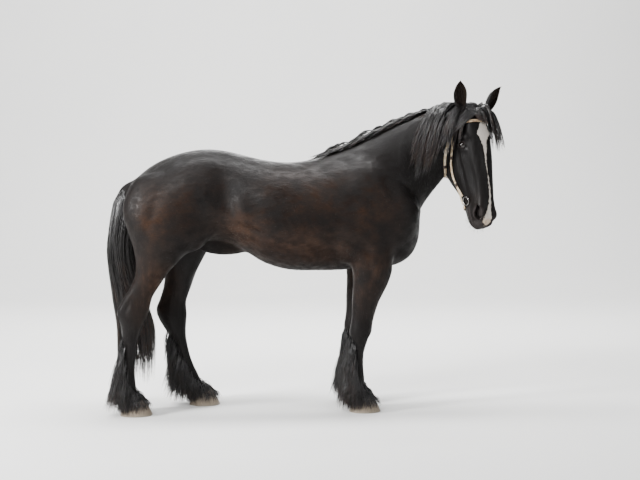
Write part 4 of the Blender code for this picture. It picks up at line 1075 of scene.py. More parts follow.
def mouth_relief(points):
    """The line of the mouth with full lips on both sides of it."""
    down, back, _ = in_head(points).T
    line = MOUTH_DEPTH + 0.006 * np.sin((down - MOUTH_CORNER) * 16) - 0.05 * np.maximum(down - 0.70, 0)
    off = back - line
    along = smoothstep(MOUTH_CORNER - 0.006, MOUTH_CORNER + 0.010, down)
    chin = -0.004 * bell(off, 0.022, 0.006) * smoothstep(0.66, 0.70, down)
    return along * (0.0026 * bell(np.abs(off), 0.010, 0.007) - 0.0060 * bell(off, 0.0, 0.0028)) + chin


def hair_depth(points):
    """How deep the skin lies in the solids: the coat is short, and shortest on the head."""
    return np.where(head_distance(points) < HEAD_REACH, 0.4, 1.0) * COAT_DEPTH


def marking_field(points):
    """Distance inside the white marking in metres, positive where the coat is white."""
    down, back, left = in_head(points).T
    front = back < 0.10 + 0.05 * smoothstep(0.60, 0.66, down)
    knots = np.array(MARKING)
    centre = np.interp(down, knots[:, 0], knots[:, 1])
    width = np.interp(down, knots[:, 0], knots[:, 2])
    ends = np.minimum(down - knots[0, 0], knots[-1, 0] - down)
    inside = np.minimum(width - np.abs(left - centre), ends)
    for side in (1, -1):
        centre, across, rise, _ = (np.array(v) for v in nostril_frame(side))
        rel = points - centre
        inside = np.minimum(inside, 0.03 * np.hypot(rel @ across / 0.030, rel @ rise / 0.054) - 0.03)
    return np.where(front, inside, -0.05)


def finish_skin(skin):
    """Sculpts the fine skin and stores what its material reads."""
    mesh = skin.data
    points, normals = points_of(mesh), normals_of(mesh)
    high = smoothstep(0.62, 0.80, points[:, 2])
    rise = body_relief(points) * high + head_relief(points) + leg_relief(points) - hair_depth(points)
    set_points(mesh, points + normals * rise[:, None])
    points, normals = points_of(mesh), normals_of(mesh)
    points = points + normals * mouth_relief(points)[:, None]
    set_points(mesh, shape_nostrils(shape_lids(points)))
    points = points_of(mesh)
    add_attribute(mesh, "white", marking_field(points))
    add_attribute(mesh, "bare", bare_field(points))
    add_attribute(mesh, "upright", np.maximum(1 - smoothstep(0.85, 1.05, points[:, 2]), head_share(points)))
    add_attribute(mesh, "brown", brown_field(points))
    add_attribute(mesh, "inside", ear_inside(points, normals_of(mesh)))
    for polygon in mesh.polygons:
        polygon.use_smooth = True


def head_share(points):
    """1 on the head, 0 on the body, smooth between them."""
    return 1 - smoothstep(0.38, 0.50, head_distance(points))


def brown_field(points):
    """How brown the black coat shines at each place."""
    found = np.zeros(len(points))
    for centre, half_lengths, strength in BROWN_PLACES:
        rel = (folded(points) - np.array(centre)) / np.array(half_lengths)
        found = np.maximum(found, strength * np.exp(-(rel ** 2).sum(axis=1)))
    muzzle = 0.15 * head_share(points) * smoothstep(0.45, 0.62, in_head(points)[:, 0])
    return np.maximum(found, muzzle)


def ear_frame(side):
    """An ear's root with its axis and the way that its cup opens."""
    down, back, left = EAR_AXIS[side]
    axis = (HEAD_DOWN * down + HEAD_BACK * back + HEAD_LEFT * left * side).normalized()
    open_way = -HEAD_BACK * math.cos(EAR_FACES_OUT) + HEAD_LEFT * side * math.sin(EAR_FACES_OUT)
    open_way = (open_way - axis * open_way.dot(axis)).normalized()
    down, back, left = EAR_ROOT[side]
    return on_head(down, back, left * side), axis, open_way


def ear_inside(points, normals):
    """1 on the skin in the cups of the ears."""
    found = np.zeros(len(points))
    for side in (1, -1):
        root, axis, _ = (np.array(v) for v in ear_frame(side))
        rel = points - root
        height = rel @ axis
        aside = rel - height[:, None] * axis
        near = (height > 0.03) & (height < EAR_LENGTH + 0.01) & (np.linalg.norm(aside, axis=1) < 0.06)
        found = np.where(near & ((-aside * normals).sum(axis=1) > 0.002), 1.0, found)
    return found


def bare_field(points):
    """Where skin shows with little hair: lids, nostrils, lips and the middle of the muzzle."""
    found = np.zeros(len(points))
    for side in (1, -1):
        nostril = np.array(nostril_frame(side)[0])
        eye, _, _, out = (np.array(v) for v in eye_frame(side))
        for centre, far, close in ((nostril, 0.050, 0.030), (eye + out * EYE_RADIUS, 0.030, 0.022)):
            distance = np.linalg.norm(points - centre, axis=1)
            found = np.maximum(found, smoothstep(far, close, distance))
    down, back, _ = in_head(points).T
    lips = (smoothstep(0.018, 0.006, np.abs(back - MOUTH_DEPTH))
            * smoothstep(MOUTH_CORNER, MOUTH_CORNER + 0.025, down))
    return head_share(points) * np.maximum(found, np.maximum(lips, smoothstep(0.668, 0.700, down)))


def mesh_from_arrays(name, points, quads, triangles):
    """An object from arrays of corners, four-sided faces and triangles."""
    mesh = bpy.data.meshes.new(name)
    mesh.vertices.add(len(points))
    mesh.vertices.foreach_set("co", points.astype(np.float32).ravel())
    corners = np.concatenate([quads.ravel(), triangles.ravel()])
    starts = np.concatenate([np.arange(len(quads)) * 4, len(quads) * 4 + np.arange(len(triangles)) * 3])
    mesh.loops.add(len(corners))
    mesh.loops.foreach_set("vertex_index", corners.astype(np.int32))
    mesh.polygons.add(len(starts))
    mesh.polygons.foreach_set("loop_start", starts.astype(np.int32))
    mesh.update(calc_edges=True)
    return link(mesh, name)


def unit(rows):
    """Rows of vectors, each of length one."""
    return rows / np.maximum(np.linalg.norm(rows, axis=-1, keepdims=True), 1e-9)


def strand_ways(lines, outs):
    """Unit vectors along and across rows of places with outward ways."""
    ahead = unit(np.gradient(lines, axis=-2))
    return ahead, unit(np.cross(ahead, outs))


def bundle_mesh(rng, name, spines, outs, size, unwrap):
    """Closed three-sided tapered hair bundles along rows of spines, as one mesh."""
    count, steps = spines.shape[:2]
    tints = rng.uniform(0, 1, count)
    half_width, half_thick = size
    ahead, across = strand_ways(spines, outs)
    out = np.cross(across, ahead)
    share = np.linspace(0, 1, steps)
    taper = (np.minimum(1.0, 0.65 + share * 3) * (1 - share ** 3.0) + 0.06)[None, :, None]
    wide, thick = across * half_width * taper, out * half_thick * taper
    ring = np.stack([spines + wide - thick, spines + thick, spines - wide - thick], axis=2)
    index = np.arange(count * steps * 3).reshape(count, steps, 3)
    low, high = index[:, :-1], index[:, 1:]
    turned = (1, 2, 0)
    quads = np.stack([low, high, high[..., turned], low[..., turned]], axis=-1).reshape(-1, 4)
    caps = np.concatenate([index[:, 0, :], index[:, -1, ::-1]])
    made = mesh_from_arrays(name, ring.reshape(-1, 3), quads, caps)
    along = np.repeat(share, 3)
    add_attribute(made.data, "along", np.tile(along, count))
    add_attribute(made.data, "tint", np.repeat(tints, steps * 3))
    within = np.stack([np.tile([0.0, 0.5, 1.0], steps), along], axis=1)
    store_patches(made.data, unwrap(spines[:, 0]), np.repeat(np.arange(count), steps * 3),
                  np.tile(within, (count, 1)))
    return made


def store_patches(mesh, roots, owner, within):
    """The bake map: every bundle is a small patch at its root's place on the skin's unwrap."""
    corners = np.empty(len(mesh.loops), np.int32)
    mesh.loops.foreach_get("vertex_index", corners)
    places = roots[owner[corners]] + (within[corners] - 0.5) * PATCH
    layer = mesh.uv_layers.new(name="OFBake")
    layer.data.foreach_set("uv", np.clip(places, 0.0, 1.0).astype(np.float32).ravel())


def skin_unwrap(skin):
    """A function that gives the place of points on an unwrap of the skin's own shape."""
    reduce = skin.modifiers.new("coarse", "DECIMATE")
    reduce.ratio = UNWRAP_FACES / len(skin.data.polygons)
    coarse = evaluated_copy(skin, "unwrap")
    skin.modifiers.remove(reduce)
    bpy.context.view_layer.objects.active = coarse
    coarse.select_set(True)
    bpy.ops.object.mode_set(mode="EDIT")
    bpy.ops.mesh.select_all(action="SELECT")
    bpy.ops.uv.smart_project(angle_limit=math.radians(66), island_margin=0.002)
    bpy.ops.object.mode_set(mode="OBJECT")
    mesh = coarse.data
    layer = mesh.uv_layers.active.data
    tree = tree_of(coarse)
    corners = [([mesh.vertices[mesh.loops[i].vertex_index].co.copy() for i in p.loop_indices],
                [layer[i].uv.copy() for i in p.loop_indices]) for p in mesh.polygons]

    def place(points):
        """The nearest face's corners on the unwrap, weighted by how close they are."""
        found = []
        for point in points:
            spot, _, index, _ = tree.find_nearest(point)
            places, uvs = corners[index]
            weights = [1.0 / ((spot - p).length + 1e-4) for p in places]
            total = sum(weights)
            found.append(sum((uv * (w / total) for uv, w in zip(uvs, weights)), Vector((0, 0))))
        return np.array(found)

    discard(coarse)
    return place


def fallen(tree, root, start, pull, length, lift, droop=HAIR_DROOP, steps=12):
    """A guide line that rises from its root and falls over the skin without entering it."""
    point, way = root.copy(), start.normalized()
    points, outs = [root - way * 0.010], [way.copy()]
    step = length / (steps - 1)
    out = way.copy()
    for k in range(steps - 1):
        way = (way * (1 - droop) + pull * droop).normalized()
        point = point + way * step
        spot, normal, _, _ = tree.find_nearest(point)
        if (point - spot).dot(normal) < lift:
            point = spot + normal * lift
        way = (point - points[-1]).normalized() if k else way
        out = (out * 0.4 + normal * 0.6).normalized()
        points.append(point.copy())
        outs.append(out.copy())
    return points, outs


def bundles(rng, guides, outs, count, spread, depth, shortest, wave, gather, steps=11):
    """Hair bundles round guide lines: rows of spines with their outward ways."""
    guides, outs = np.array(guides, float), np.array(outs, float)
    pick = np.repeat(np.arange(len(guides)), count)
    base, out = guides[pick], outs[pick]
    across = strand_ways(base, out)[1]
    total = len(pick)
    share = np.linspace(0, 1, base.shape[1])[None, :]
    hold = 1 - gather * share ** 1.4
    aside = rng.uniform(-1, 1, (total, 1)) * spread * hold
    above = rng.uniform(0, 1, (total, 1)) * depth * hold
    phase, pace = rng.uniform(0, 6.3, (total, 1)), rng.uniform(0.6, 1.6, (total, 1))
    aside = aside + wave * share * np.sin(phase + share * 6.3 * pace)
    above = above + 0.5 * wave * share * np.sin(phase * 1.7 + share * 5.0 * pace)
    above = above * smoothstep(0.0, 0.3, share)
    lines = base + across * aside[..., None] + unit(out) * above[..., None]
    reach = rng.uniform(shortest, 1.0, (total, 1)) * np.linspace(0, 1, steps)[None, :] * (base.shape[1] - 1)
    index = np.minimum(reach.astype(int), base.shape[1] - 2)
    part = (reach - index)[..., None]
    rows = np.arange(total)[:, None]
    return (lines[rows, index] * (1 - part) + lines[rows, index + 1] * part,
            out[rows, index] * (1 - part) + out[rows, index + 1] * part)


def crest_point(share):
    """A place on the crest of the neck."""
    return Vector(spline([crest for crest, _, _ in NECK], share))


def build_mane(rng, tree, unwrap):
    """The mane on both sides of the neck."""
    made = {}
    up = Vector((0, 0, 1))
    for name, side, first, last, guides, count, length, lean, rise, spread in MANE_GROUPS:
        lines, ways = [], []
        for i in range(guides):
            share = first + (last - first) * (i + rng.uniform(-0.4, 0.4)) / (guides - 1)
            ahead = (crest_point(share + 0.03) - crest_point(share - 0.03)).normalized()
            out = up.cross(ahead).normalized() * side
            root = tree.find_nearest(crest_point(share) + up * 0.02 + out * rng.uniform(-0.022, 0.026))[0]
            start = up * rise * 20 + out * rng.uniform(0.1, 0.7) - ahead * min(lean, 1.0) * 0.6
            pull = (-up - ahead * lean * rng.uniform(0.7, 1.3) + out * 0.10).normalized()
            points, outs = fallen(tree, root, start, pull, length * rng.uniform(0.80, 1.15),
                                  rng.uniform(0.004, 0.018))
            lines.append(points)
            ways.append(outs)
        spines, outs = bundles(rng, lines, ways, count, spread, *MANE_LIE)
        made.setdefault(name, []).append((spines, outs))
    pieces = []
    for name, parts in made.items():
        spines, outs = (np.concatenate(rows) for rows in zip(*parts))
        pieces.append(bundle_mesh(rng, name, spines, outs, MANE_HAIR, unwrap))
    return pieces


def build_forelock(rng, tree, unwrap):
    """The forelock, parted at the poll and swept over both sides of the forehead."""
    every = []
    for guides, count, root, start, pull, length, lift, spread in FORELOCK_GROUPS:
        start, pull = (HEAD_DOWN * v[0] + HEAD_BACK * v[1] + HEAD_LEFT * v[2] for v in (start, pull))
        lines, ways = [], []
        for _ in range(guides):
            down, back, left = root
            place = on_head(down + rng.uniform(-0.012, 0.014), back + rng.uniform(-0.016, 0.040),
                            left + rng.uniform(-spread, spread))
            spot = tree.find_nearest(place)[0]
            turned = (pull.normalized() + HEAD_BACK * rng.uniform(-0.20, 0.20)
                      + HEAD_DOWN * rng.uniform(-0.10, 0.10)).normalized()
            throw = turned.lerp(start.normalized(), rng.uniform(0.35, 1.0)) - HEAD_BACK * 0.15
            points, outs = fallen(tree, spot, throw, turned, length * rng.uniform(0.72, 1.10),
                                  lift * rng.uniform(0.3, 1.6))
            lines.append(points)
            ways.append(outs)
        every.append(bundles(rng, lines, ways, count, *FORELOCK_LIE))
    spines, outs = (np.concatenate(rows) for rows in zip(*every))
    return bundle_mesh(rng, "forelock", spines, outs, MANE_HAIR, unwrap)


def build_tail_hair(rng, unwrap):
    """The tail's long hair, round the dock and down behind the legs."""
    lines, ways = [], []
    (back_high, front_high), (back_low, front_low) = TAIL_FALL
    for i in range(TAIL_GUIDES):
        turn = 2 * math.pi * (i * GOLDEN_TURN % 1.0)
        x, z, radius = spline(DOCK, 0.06 + 0.88 * (i + 0.5) / TAIL_GUIDES)
        out = Vector((-math.cos(turn), math.sin(turn), 0))
        depth = 0.5 - 0.5 * math.cos(turn)
        end = TAIL_END + TAIL_SHORTER * rng.random() ** 1.8
        root = Vector((x, 0, z)) + out * radius * 0.7
        points = [root, root + out * 0.018 + Vector((0, 0, -0.030))]
        drift = rng.uniform(-0.016, 0.016, 3)
        for k in range(1, TAIL_STEPS + 1):
            share = k / TAIL_STEPS
            height = z - 0.03 + (end - z + 0.03) * share
            low = min(1.0, max(0.0, (1.02 - height) / 0.5))
            back = back_high + (back_low - back_high) * low
            front = front_high + (front_low - front_high) * low
            wide = TAIL_HALF_WIDTH * (1.0 - 0.30 * max(0.0, share - 0.5))
            reached = 1 - (1 - share) ** 3.5
            spot = Vector((back + (front - back) * (depth * 0.94 + 0.03) + drift[0] * share,
                           wide * math.sin(turn) * 0.9 + drift[1] * share, height))
            points.append(Vector((*points[1].lerp(spot, reached)[:2], height)))
        lines.append(points)
        ways.append([out] * len(points))
    made = []
    for name, first in (("tail_hair_upper", 0), ("tail_hair_lower", 1)):
        spines, outs = bundles(rng, lines[first::2], ways[first::2], TAIL_BUNDLES, *TAIL_LIE, 13)
        made.append(bundle_mesh(rng, name, spines, outs, TAIL_HAIR, unwrap))
    return made


def leg_centre(kind, side, height):
    """The middle of a leg at one height."""
    rows = sorted(leg_rows(kind, side), key=lambda row: row[1])
    places = [row[1] for row in rows]
    return Vector((float(np.interp(height, places, [row[0] for row in rows])),
                   side * float(np.interp(height, places, [row[4] for row in rows])), height))


def build_feather(rng, tree, unwrap, kind, side):
    """The long hair of one lower leg, fullest behind the fetlock and over the heels."""
    lines, ways = [], []
    for top, length, first, last, guides, flare in FEATHER_TIERS:
        for i in range(guides):
            turn = math.radians(first + (last - first) * (i + rng.uniform(-0.4, 0.4)) / (guides - 1))
            way = Vector((math.cos(turn), math.sin(turn) * side, 0))
            middle = leg_centre(kind, side, top + rng.uniform(-0.026, 0.026))
            spot = tree.ray_cast(middle + way * 0.16, -way)[0]
            if spot is None:
                continue
            start = (way * (0.15 + flare) + Vector((0, 0, -1.0))).normalized()
            pull = (Vector((0, 0, -1)) + way * flare * rng.uniform(0.25, 0.75)).normalized()
            reach = length * rng.uniform(0.80, 1.12)
            reach = min(reach, (middle.z - 0.006) * 1.04)
            points, outs = fallen(tree, spot, start, pull, reach, 0.003 + 0.004 * rng.random(),
                                  FEATHER_DROOP, 9)
            for point in points:
                point.z = max(point.z, FEATHER_LIFT)
            lines.append(points)
            ways.append(outs)
    spines, outs = bundles(rng, lines, ways, FEATHER_BUNDLES, *FEATHER_LIE, 8)
    spines[..., 2] = np.maximum(spines[..., 2], 0.003)
    name = "feather_{}_{}".format(kind, "left" if side > 0 else "right")
    return bundle_mesh(rng, name, spines, outs, FEATHER_HAIR, unwrap)


def along_skin(ways, normals):
    """The ways without what points out of the skin."""
    return ways - normals * (ways * normals).sum(axis=1, keepdims=True)


def hair_ways(points, normals):
    """The way that the short coat lies at each place, rising a little off the skin."""
    low = (1 - smoothstep(0.80, 1.05, points[:, 2]))[:, None]
    head = head_share(points)[:, None]
    neck = (smoothstep(0.35, 0.60, points[:, 0]) * smoothstep(1.25, 1.40, points[:, 2]))[:, None]
    ways = np.array(COAT_WAYS["body"]) * (1 - neck) + np.array(COAT_WAYS["neck"]) * neck
    ways = ways * (1 - low) + np.array(COAT_WAYS["leg"]) * low
    face = np.array(HEAD_DOWN) * 0.9 + np.array(HEAD_BACK) * 0.35
    ways = along_skin(ways * (1 - head) + face * head, normals)
    return unit(unit(ways) + normals * TUFT_RISE)


def tuft_density(points, normals):
    """How close the tufts stand and how long they are, at each place."""
    down, back, _ = in_head(points).T
    head = head_share(points)
    x, y, z = points.T
    jaw = head * smoothstep(0.20, 0.27, back) * smoothstep(0.05, 0.15, down)
    jaw = jaw * (1 - smoothstep(0.42, 0.52, down))
    chin = head * smoothstep(0.62, 0.66, down) * smoothstep(0.12, 0.16, back)
    belly = bell(x, -0.15, 0.45) * bell(y, 0.0, 0.16) * (1 - smoothstep(0.92, 1.0, z))
    back_of_leg = smoothstep(0.45, 0.60, z) * (1 - smoothstep(0.95, 1.10, z))
    back_of_leg = back_of_leg * smoothstep(0.4, 0.8, -normals[:, 0])
    chest = smoothstep(0.45, 0.60, x) * bell(z, 1.15, 0.14) * smoothstep(0.3, 0.8, normals[:, 0])
    throat = bell(x, 0.74, 0.14) * bell(z, 1.42, 0.12)
    elbow = bell(x, 0.14, 0.08) * bell(z, 1.00, 0.08)
    flank = bell(x, -0.53, 0.08) * bell(z, 1.10, 0.10)
    cannon = (1 - smoothstep(0.42, 0.50, z)) * smoothstep(0.10, 0.14, z)
    close = [jaw, chin, belly, back_of_leg, chest * 0.7, throat * 0.8, elbow, flank, cannon * 0.5]
    long = [jaw, belly, back_of_leg * 0.6, chest * 0.5, throat * 0.6, elbow, flank]
    length = TUFT_LENGTH + TUFT_LONGER * np.max(long, axis=0)
    return TUFT_DENSITY + np.max(close, axis=0), length * (1 - 0.45 * head * (1 - jaw))


def spots_on(rng, skin, count, weigh):
    """Random places on the skin with their normals: the weights say how close they stand."""
    mesh = skin.data
    mesh.calc_loop_triangles()
    corners = np.empty(len(mesh.loop_triangles) * 3, np.int32)
    mesh.loop_triangles.foreach_get("vertices", corners)
    corners = corners.reshape(-1, 3)
    points, normals = points_of(mesh), normals_of(mesh)
    a, b, c = (points[corners[:, k]] for k in range(3))
    area = np.linalg.norm(np.cross(b - a, c - a), axis=1)
    share = area * weigh((a + b + c) / 3, unit(normals[corners].mean(axis=1)))
    chosen = rng.choice(len(corners), count, p=share / share.sum())
    u, v = rng.random((2, count, 1))
    u, v = np.where(u + v > 1, 1 - u, u), np.where(u + v > 1, 1 - v, v)
    places = a[chosen] * (1 - u - v) + b[chosen] * u + c[chosen] * v
    return places, unit(normals[corners[chosen]].mean(axis=1))


def short_hairs(rng, name, spots, normals, ways, lengths, size, unwrap, bow=0.35):
    """Short hairs with their roots just under the skin, bowed down onto it."""
    ways = unit(ways + rng.normal(0, 0.12, ways.shape))
    flat = unit(along_skin(ways, normals))
    reach = lengths[:, None]
    spines = np.stack([spots - normals * ROOT_DEPTH, spots + ways * reach * 0.5,
                       spots + (ways * (1 - bow) + flat * bow) * reach], axis=1)
    outs = np.repeat(normals[:, None, :], 3, axis=1)
    return bundle_mesh(rng, name, spines, outs, size, unwrap)


def build_short_coat(rng, skin, unwrap):
    """Tufts of the short coat where it breaks the form, and sparser ones everywhere else."""
    made = []
    for k in range(TUFT_PIECES):
        spots, normals = spots_on(rng, skin, TUFTS, lambda p, n: tuft_density(p, n)[0])
        lengths = tuft_density(spots, normals)[1] * rng.uniform(0.6, 1.25, TUFTS)
        made.append(short_hairs(rng, "coat_tufts_{}".format(k + 1), spots, normals,
                                hair_ways(spots, normals), lengths, TUFT_HAIR, unwrap))
    return made


def build_ear_hair(rng, skin, unwrap):
    """The longer hair in the cups of the ears."""
    spots, normals = spots_on(rng, skin, EAR_HAIRS, lambda p, n: ear_inside(p, n) + 1e-9)
    left = in_head(spots)[:, 2] > 0
    ways = np.where(left[:, None], np.array(ear_frame(1)[1]), np.array(ear_frame(-1)[1]))
    ways = unit(ways * 0.7 + normals * 0.6)
    lengths = rng.uniform(0.012, 0.026, len(spots))
    return short_hairs(rng, "ear_hair", spots, normals, ways, lengths, EAR_HAIR_SIZE, unwrap, 0.2)


def feeler_density(points, _):
    """How close the feelers stand: only on the lips and the chin."""
    down, back, _ = in_head(points).T
    muzzle = smoothstep(0.60, 0.66, down) * smoothstep(0.08, 0.13, back)
    return head_share(points) * muzzle + 1e-9


def build_whiskers(rng, skin, unwrap):
    """Fine feelers on the lips and the chin."""
    spots, normals = spots_on(rng, skin, WHISKERS, feeler_density)
    ways = unit(normals + np.array(HEAD_DOWN) * 0.5)
    lengths = rng.uniform(0.018, 0.045, len(spots))
    return short_hairs(rng, "whiskers", spots, normals, ways, lengths, FINE_HAIR, unwrap, 0.3)


def build_lashes(rng, unwrap):
    """Lashes along the upper lids and a few on the lower ones."""
    roots, ways, outs = [], [], []
    for side in (1, -1):
        centre, along, up, out = (np.array(v) for v in eye_frame(side))
        for k in range(LASHES):
            upper = k < UPPER_LASHES
            place = rng.uniform(-0.9, 0.9)
            half = EYE_OPENING[1] if upper else -EYE_OPENING[2]
            open_share = (1 - abs(place) ** SLIT_POWER) ** (1 / SLIT_POWER)
            rim = along * EYE_OPENING[0] * place + up * half * open_share * 1.05
            rim = rim + out * math.sqrt(max(EYE_RADIUS ** 2 - rim @ rim, 0.0))
            roots.append(centre + rim * (1 + LID_THICKNESS / EYE_RADIUS * 0.4))
            ways.append(unit(out + up * (0.10 if upper else -0.6) + along * place * 0.4))
            outs.append(up if upper else -up)
    roots, ways, outs = np.array(roots), np.array(ways), np.array(outs)
    lengths = rng.uniform(0.010, 0.019, len(roots))[:, None]
    spines = np.stack([roots, roots + (ways - outs * 0.05) * lengths * 0.5,
                       roots + (ways - outs * 0.35) * lengths], axis=1)
    turned = np.repeat(outs[:, None, :], 3, axis=1)
    return bundle_mesh(rng, "eyelashes", spines, turned, FINE_HAIR, unwrap)


def build_hoof(name, place):
    """A hoof wall with growth rings, a rounded ground edge and a hollow sole."""
    tilt = Matrix.Rotation(CORONET_TILT, 3, "Y")
    forward, low_depth, low_half = HOOF_GROUND
    top_depth, top_half = HOOF_TOP
    rows = []
    for k in range(HOOF_STEPS + 1):
        share = k / HOOF_STEPS
        ridge = GROWTH_RING_HEIGHT * math.sin(share * 2 * math.pi * GROWTH_RINGS) * (1 - share)
        bulge = 0.003 * math.sin(math.pi * share)
        ring = []
        for c, s in circle(HOOF_POINTS):
            low = Vector((place.x + forward + (low_depth - 0.002) * c,
                          place.y + (low_half - 0.002) * s, 0.0))
            high = place + tilt @ Vector(((top_depth - 0.001) * c, (top_half - 0.001) * s, -0.001))
            push = ridge + bulge * (c > 0) - 0.004 * (c < -0.6) * share
            ring.append(low.lerp(high, share) + Vector((c, s, 0)) * push)
        rows.append(ring)
    edge = [Vector((p.x, p.y, 0.0)) for p in rows[0]]
    middle = sum(edge, Vector()) / HOOF_POINTS
    sole = [[middle + (p - middle) * scale + Vector((0, 0, rise)) for p in edge] for scale, rise in SOLE]
    rows[0] = [p - (p - middle).normalized() * 0.0015 for p in rows[0]]
    lifted = [p + Vector((0, 0, 0.002)) + (p - middle).normalized() * 0.0012 for p in rows[0]]
    return smooth_shaded(loft(name, sole + [rows[0], lifted] + rows[1:]))


def smooth_shaded(item):
    """Shades a piece smooth except at its sharp edges."""
    item.data.shade_smooth()
    item.data.set_sharp_from_angle(angle=math.radians(40))
    return item


def build_eye(name, side):
    """An eyeball with a slightly raised cornea."""
    centre, along, up, out = eye_frame(side)
    frame = Matrix((along, up, out)).transposed().to_4x4()
    bm = bmesh.new()
    bmesh.ops.create_uvsphere(bm, u_segments=64, v_segments=40, radius=EYE_RADIUS - 0.0005)
    for vertex in bm.verts:
        raised = max(0.0, vertex.co.z / EYE_RADIUS - 0.78) / 0.22
        vertex.co *= 1 + 0.035 * raised
    bmesh.ops.transform(bm, matrix=Matrix.Translation(centre) @ frame, verts=bm.verts)
    made = smooth_shaded(object_from(bm, name))
    points = points_of(made.data) - np.array(centre)
    add_attribute(made.data, "slit", points @ np.array(along))
    add_attribute(made.data, "rise", points @ np.array(up))
    return made


def mirrored(half_path):
    """A whole path over the head from its half, from the right side to the left."""
    right = [(u, v, -w) for u, v, w in reversed(half_path)]
    return right + list(half_path[1:])


def laid_path(path, tree, lift, count):
    """A path in the head frame laid on the skin: places and outward ways."""
    spots = []
    for i in range(count + 1):
        spot, normal, _, _ = tree.find_nearest(on_head(*spline(path, i / count)))
        spots.append((spot + normal * lift, normal))
    for _ in range(6):
        inner = []
        for i in range(1, count):
            before, here, after = spots[i - 1:i + 2]
            spot = (before[0] + here[0] * 6 + after[0]) / 8
            inner.append((spot, (before[1] + here[1] * 2 + after[1]).normalized()))
        spots = [spots[0]] + inner + [spots[-1]]
    return spots


def evenly(spots, spacing):
    """Places and outward ways at even steps along a laid path."""
    lengths = [0.0]
    for a, b in zip(spots, spots[1:]):
        lengths.append(lengths[-1] + (b[0] - a[0]).length)
    count = max(2, round(lengths[-1] / spacing))
    wanted = np.linspace(0, lengths[-1], count + 1)
    places = np.array([[*p, *n] for p, n in spots])
    rows = np.stack([np.interp(wanted, lengths, places[:, k]) for k in range(6)], axis=1)
    return rows[:, :3], unit(rows[:, 3:]), wanted


def swept(name, spots, section):
    """A closed solid swept along places with outward ways: section rows are across and out."""
    centres, outs, _ = spots
    ahead, across = strand_ways(centres, outs)
    rings = [[Vector(centre + aside * a + out * b) for a, b in section]
             for centre, aside, out in zip(centres, across, np.cross(across, ahead))]
    return loft(name, rings)


def strap_section():
    """A flat leather strap with rounded edges."""
    w, t, e = STRAP_HALF_WIDTH, STRAP_THICKNESS, STRAP_EDGE
    return ((-w + e, 0), (w - e, 0), (w, e), (w, t - e), (w - e, t),
            (0, t + STRAP_CROWN), (-w + e, t), (-w, t - e), (-w, e))


def flat_strap(name, path, tree):
    """A plain strap laid on the head."""
    line = evenly(laid_path(path, tree, STRAP_LIFT, PLAIN_STEPS), 0.004)
    return smooth_shaded(swept(name, line, strap_section()))


def braided_strap(name, path, tree):
    """Four strands plaited flat along a path on the head."""
    spots = laid_path(path, tree, STRAP_LIFT + BRAID_STRAND, LAID_STEPS)
    centres, outs, lengths = evenly(spots, BRAID_PITCH / 10)
    across = strand_ways(centres, outs)[1]
    section = [(c * BRAID_STRAND, s * BRAID_STRAND * 0.8) for c, s in circle(6)]
    strands = []
    for k in range(4):
        phase = 2 * math.pi * (lengths / BRAID_PITCH + k / 4)
        line = (centres + across * (np.sin(phase) * BRAID_HALF_WIDTH)[:, None]
                + outs * (np.sin(2 * phase) * BRAID_STRAND * 0.75)[:, None])
        strands.append(swept("strand", (line, outs, lengths), section))
    return joined(name, strands)


def joined(name, items):
    """Several meshes as one object."""
    bm = bmesh.new()
    for item in items:
        bm.from_mesh(item.data)
    discard(*items)
    return smooth_shaded(object_from(bm, name))


def stitches(name, path, tree):
    """Two rows of thread stitches along a strap."""
    centres, outs, _ = evenly(laid_path(path, tree, STRAP_LIFT, PLAIN_STEPS), STITCH_PITCH)
    ahead, across = strand_ways(centres, outs)
    aside, lift = STRAP_HALF_WIDTH - 0.0022, STRAP_THICKNESS + 0.0002
    bm = bmesh.new()
    for i in range(1, len(centres) - 1):
        turn = Matrix((ahead[i], across[i], outs[i])).transposed().to_4x4()
        for edge in (-1, 1):
            middle = centres[i] + across[i] * edge * aside + outs[i] * lift
            matrix = Matrix.Translation(middle) @ turn @ Matrix.Diagonal((*STITCH, 1.0))
            bmesh.ops.create_uvsphere(bm, u_segments=6, v_segments=4, radius=1.0, matrix=matrix)
    return smooth_shaded(object_from(bm, name))


def path_frame(spots, index):
    """A place on a laid path with its ways ahead, across and out."""
    centre, out = spots[index]
    before, after = spots[max(index - 1, 0)], spots[min(index + 1, len(spots) - 1)]
    ahead = (after[0] - before[0]).normalized()
    return centre, ahead, ahead.cross(out).normalized(), out


def wire_ring(centre, first, second, wire, count):
    """The points round a wire, in the plane of two ways."""
    return [centre + (first * c + second * s) * wire for c, s in circle(count)]


def knot(name, half_path, place, tree):
    """A dark knot of cord wound round a strap at one place on each side of the head."""
    spots = laid_path(mirrored(half_path), tree, STRAP_LIFT + BRAID_STRAND, LAID_STEPS)
    rounds = []
    for share in (0.5 - place / 2, 0.5 + place / 2):
        centre, ahead, across, out = path_frame(spots, round(share * LAID_STEPS))
        for k in range(KNOT_ROUNDS):
            step = k - KNOT_ROUNDS // 2
            swell = 1.0 + 0.10 * math.cos(step * 0.8)
            rounds.append(flat_ring(centre + ahead * step * KNOT_PITCH,
                                    across * BRAID_HALF_WIDTH * 1.55 * swell,
                                    out * BRAID_STRAND * 2.0 * swell, ahead, KNOT_WIRE))
    return joined(name, rounds)


def flat_ring(centre, across, rise, ahead, wire):
    """A round cord bent into an oval ring."""
    rings = []
    for c, s in circle(28):
        out = across * c + rise * s
        way = (across.normalized() * c + rise.normalized() * s).normalized()
        rings.append(wire_ring(centre + out, way, ahead, wire, 8))
    return loft("ring", rings, endless=True)


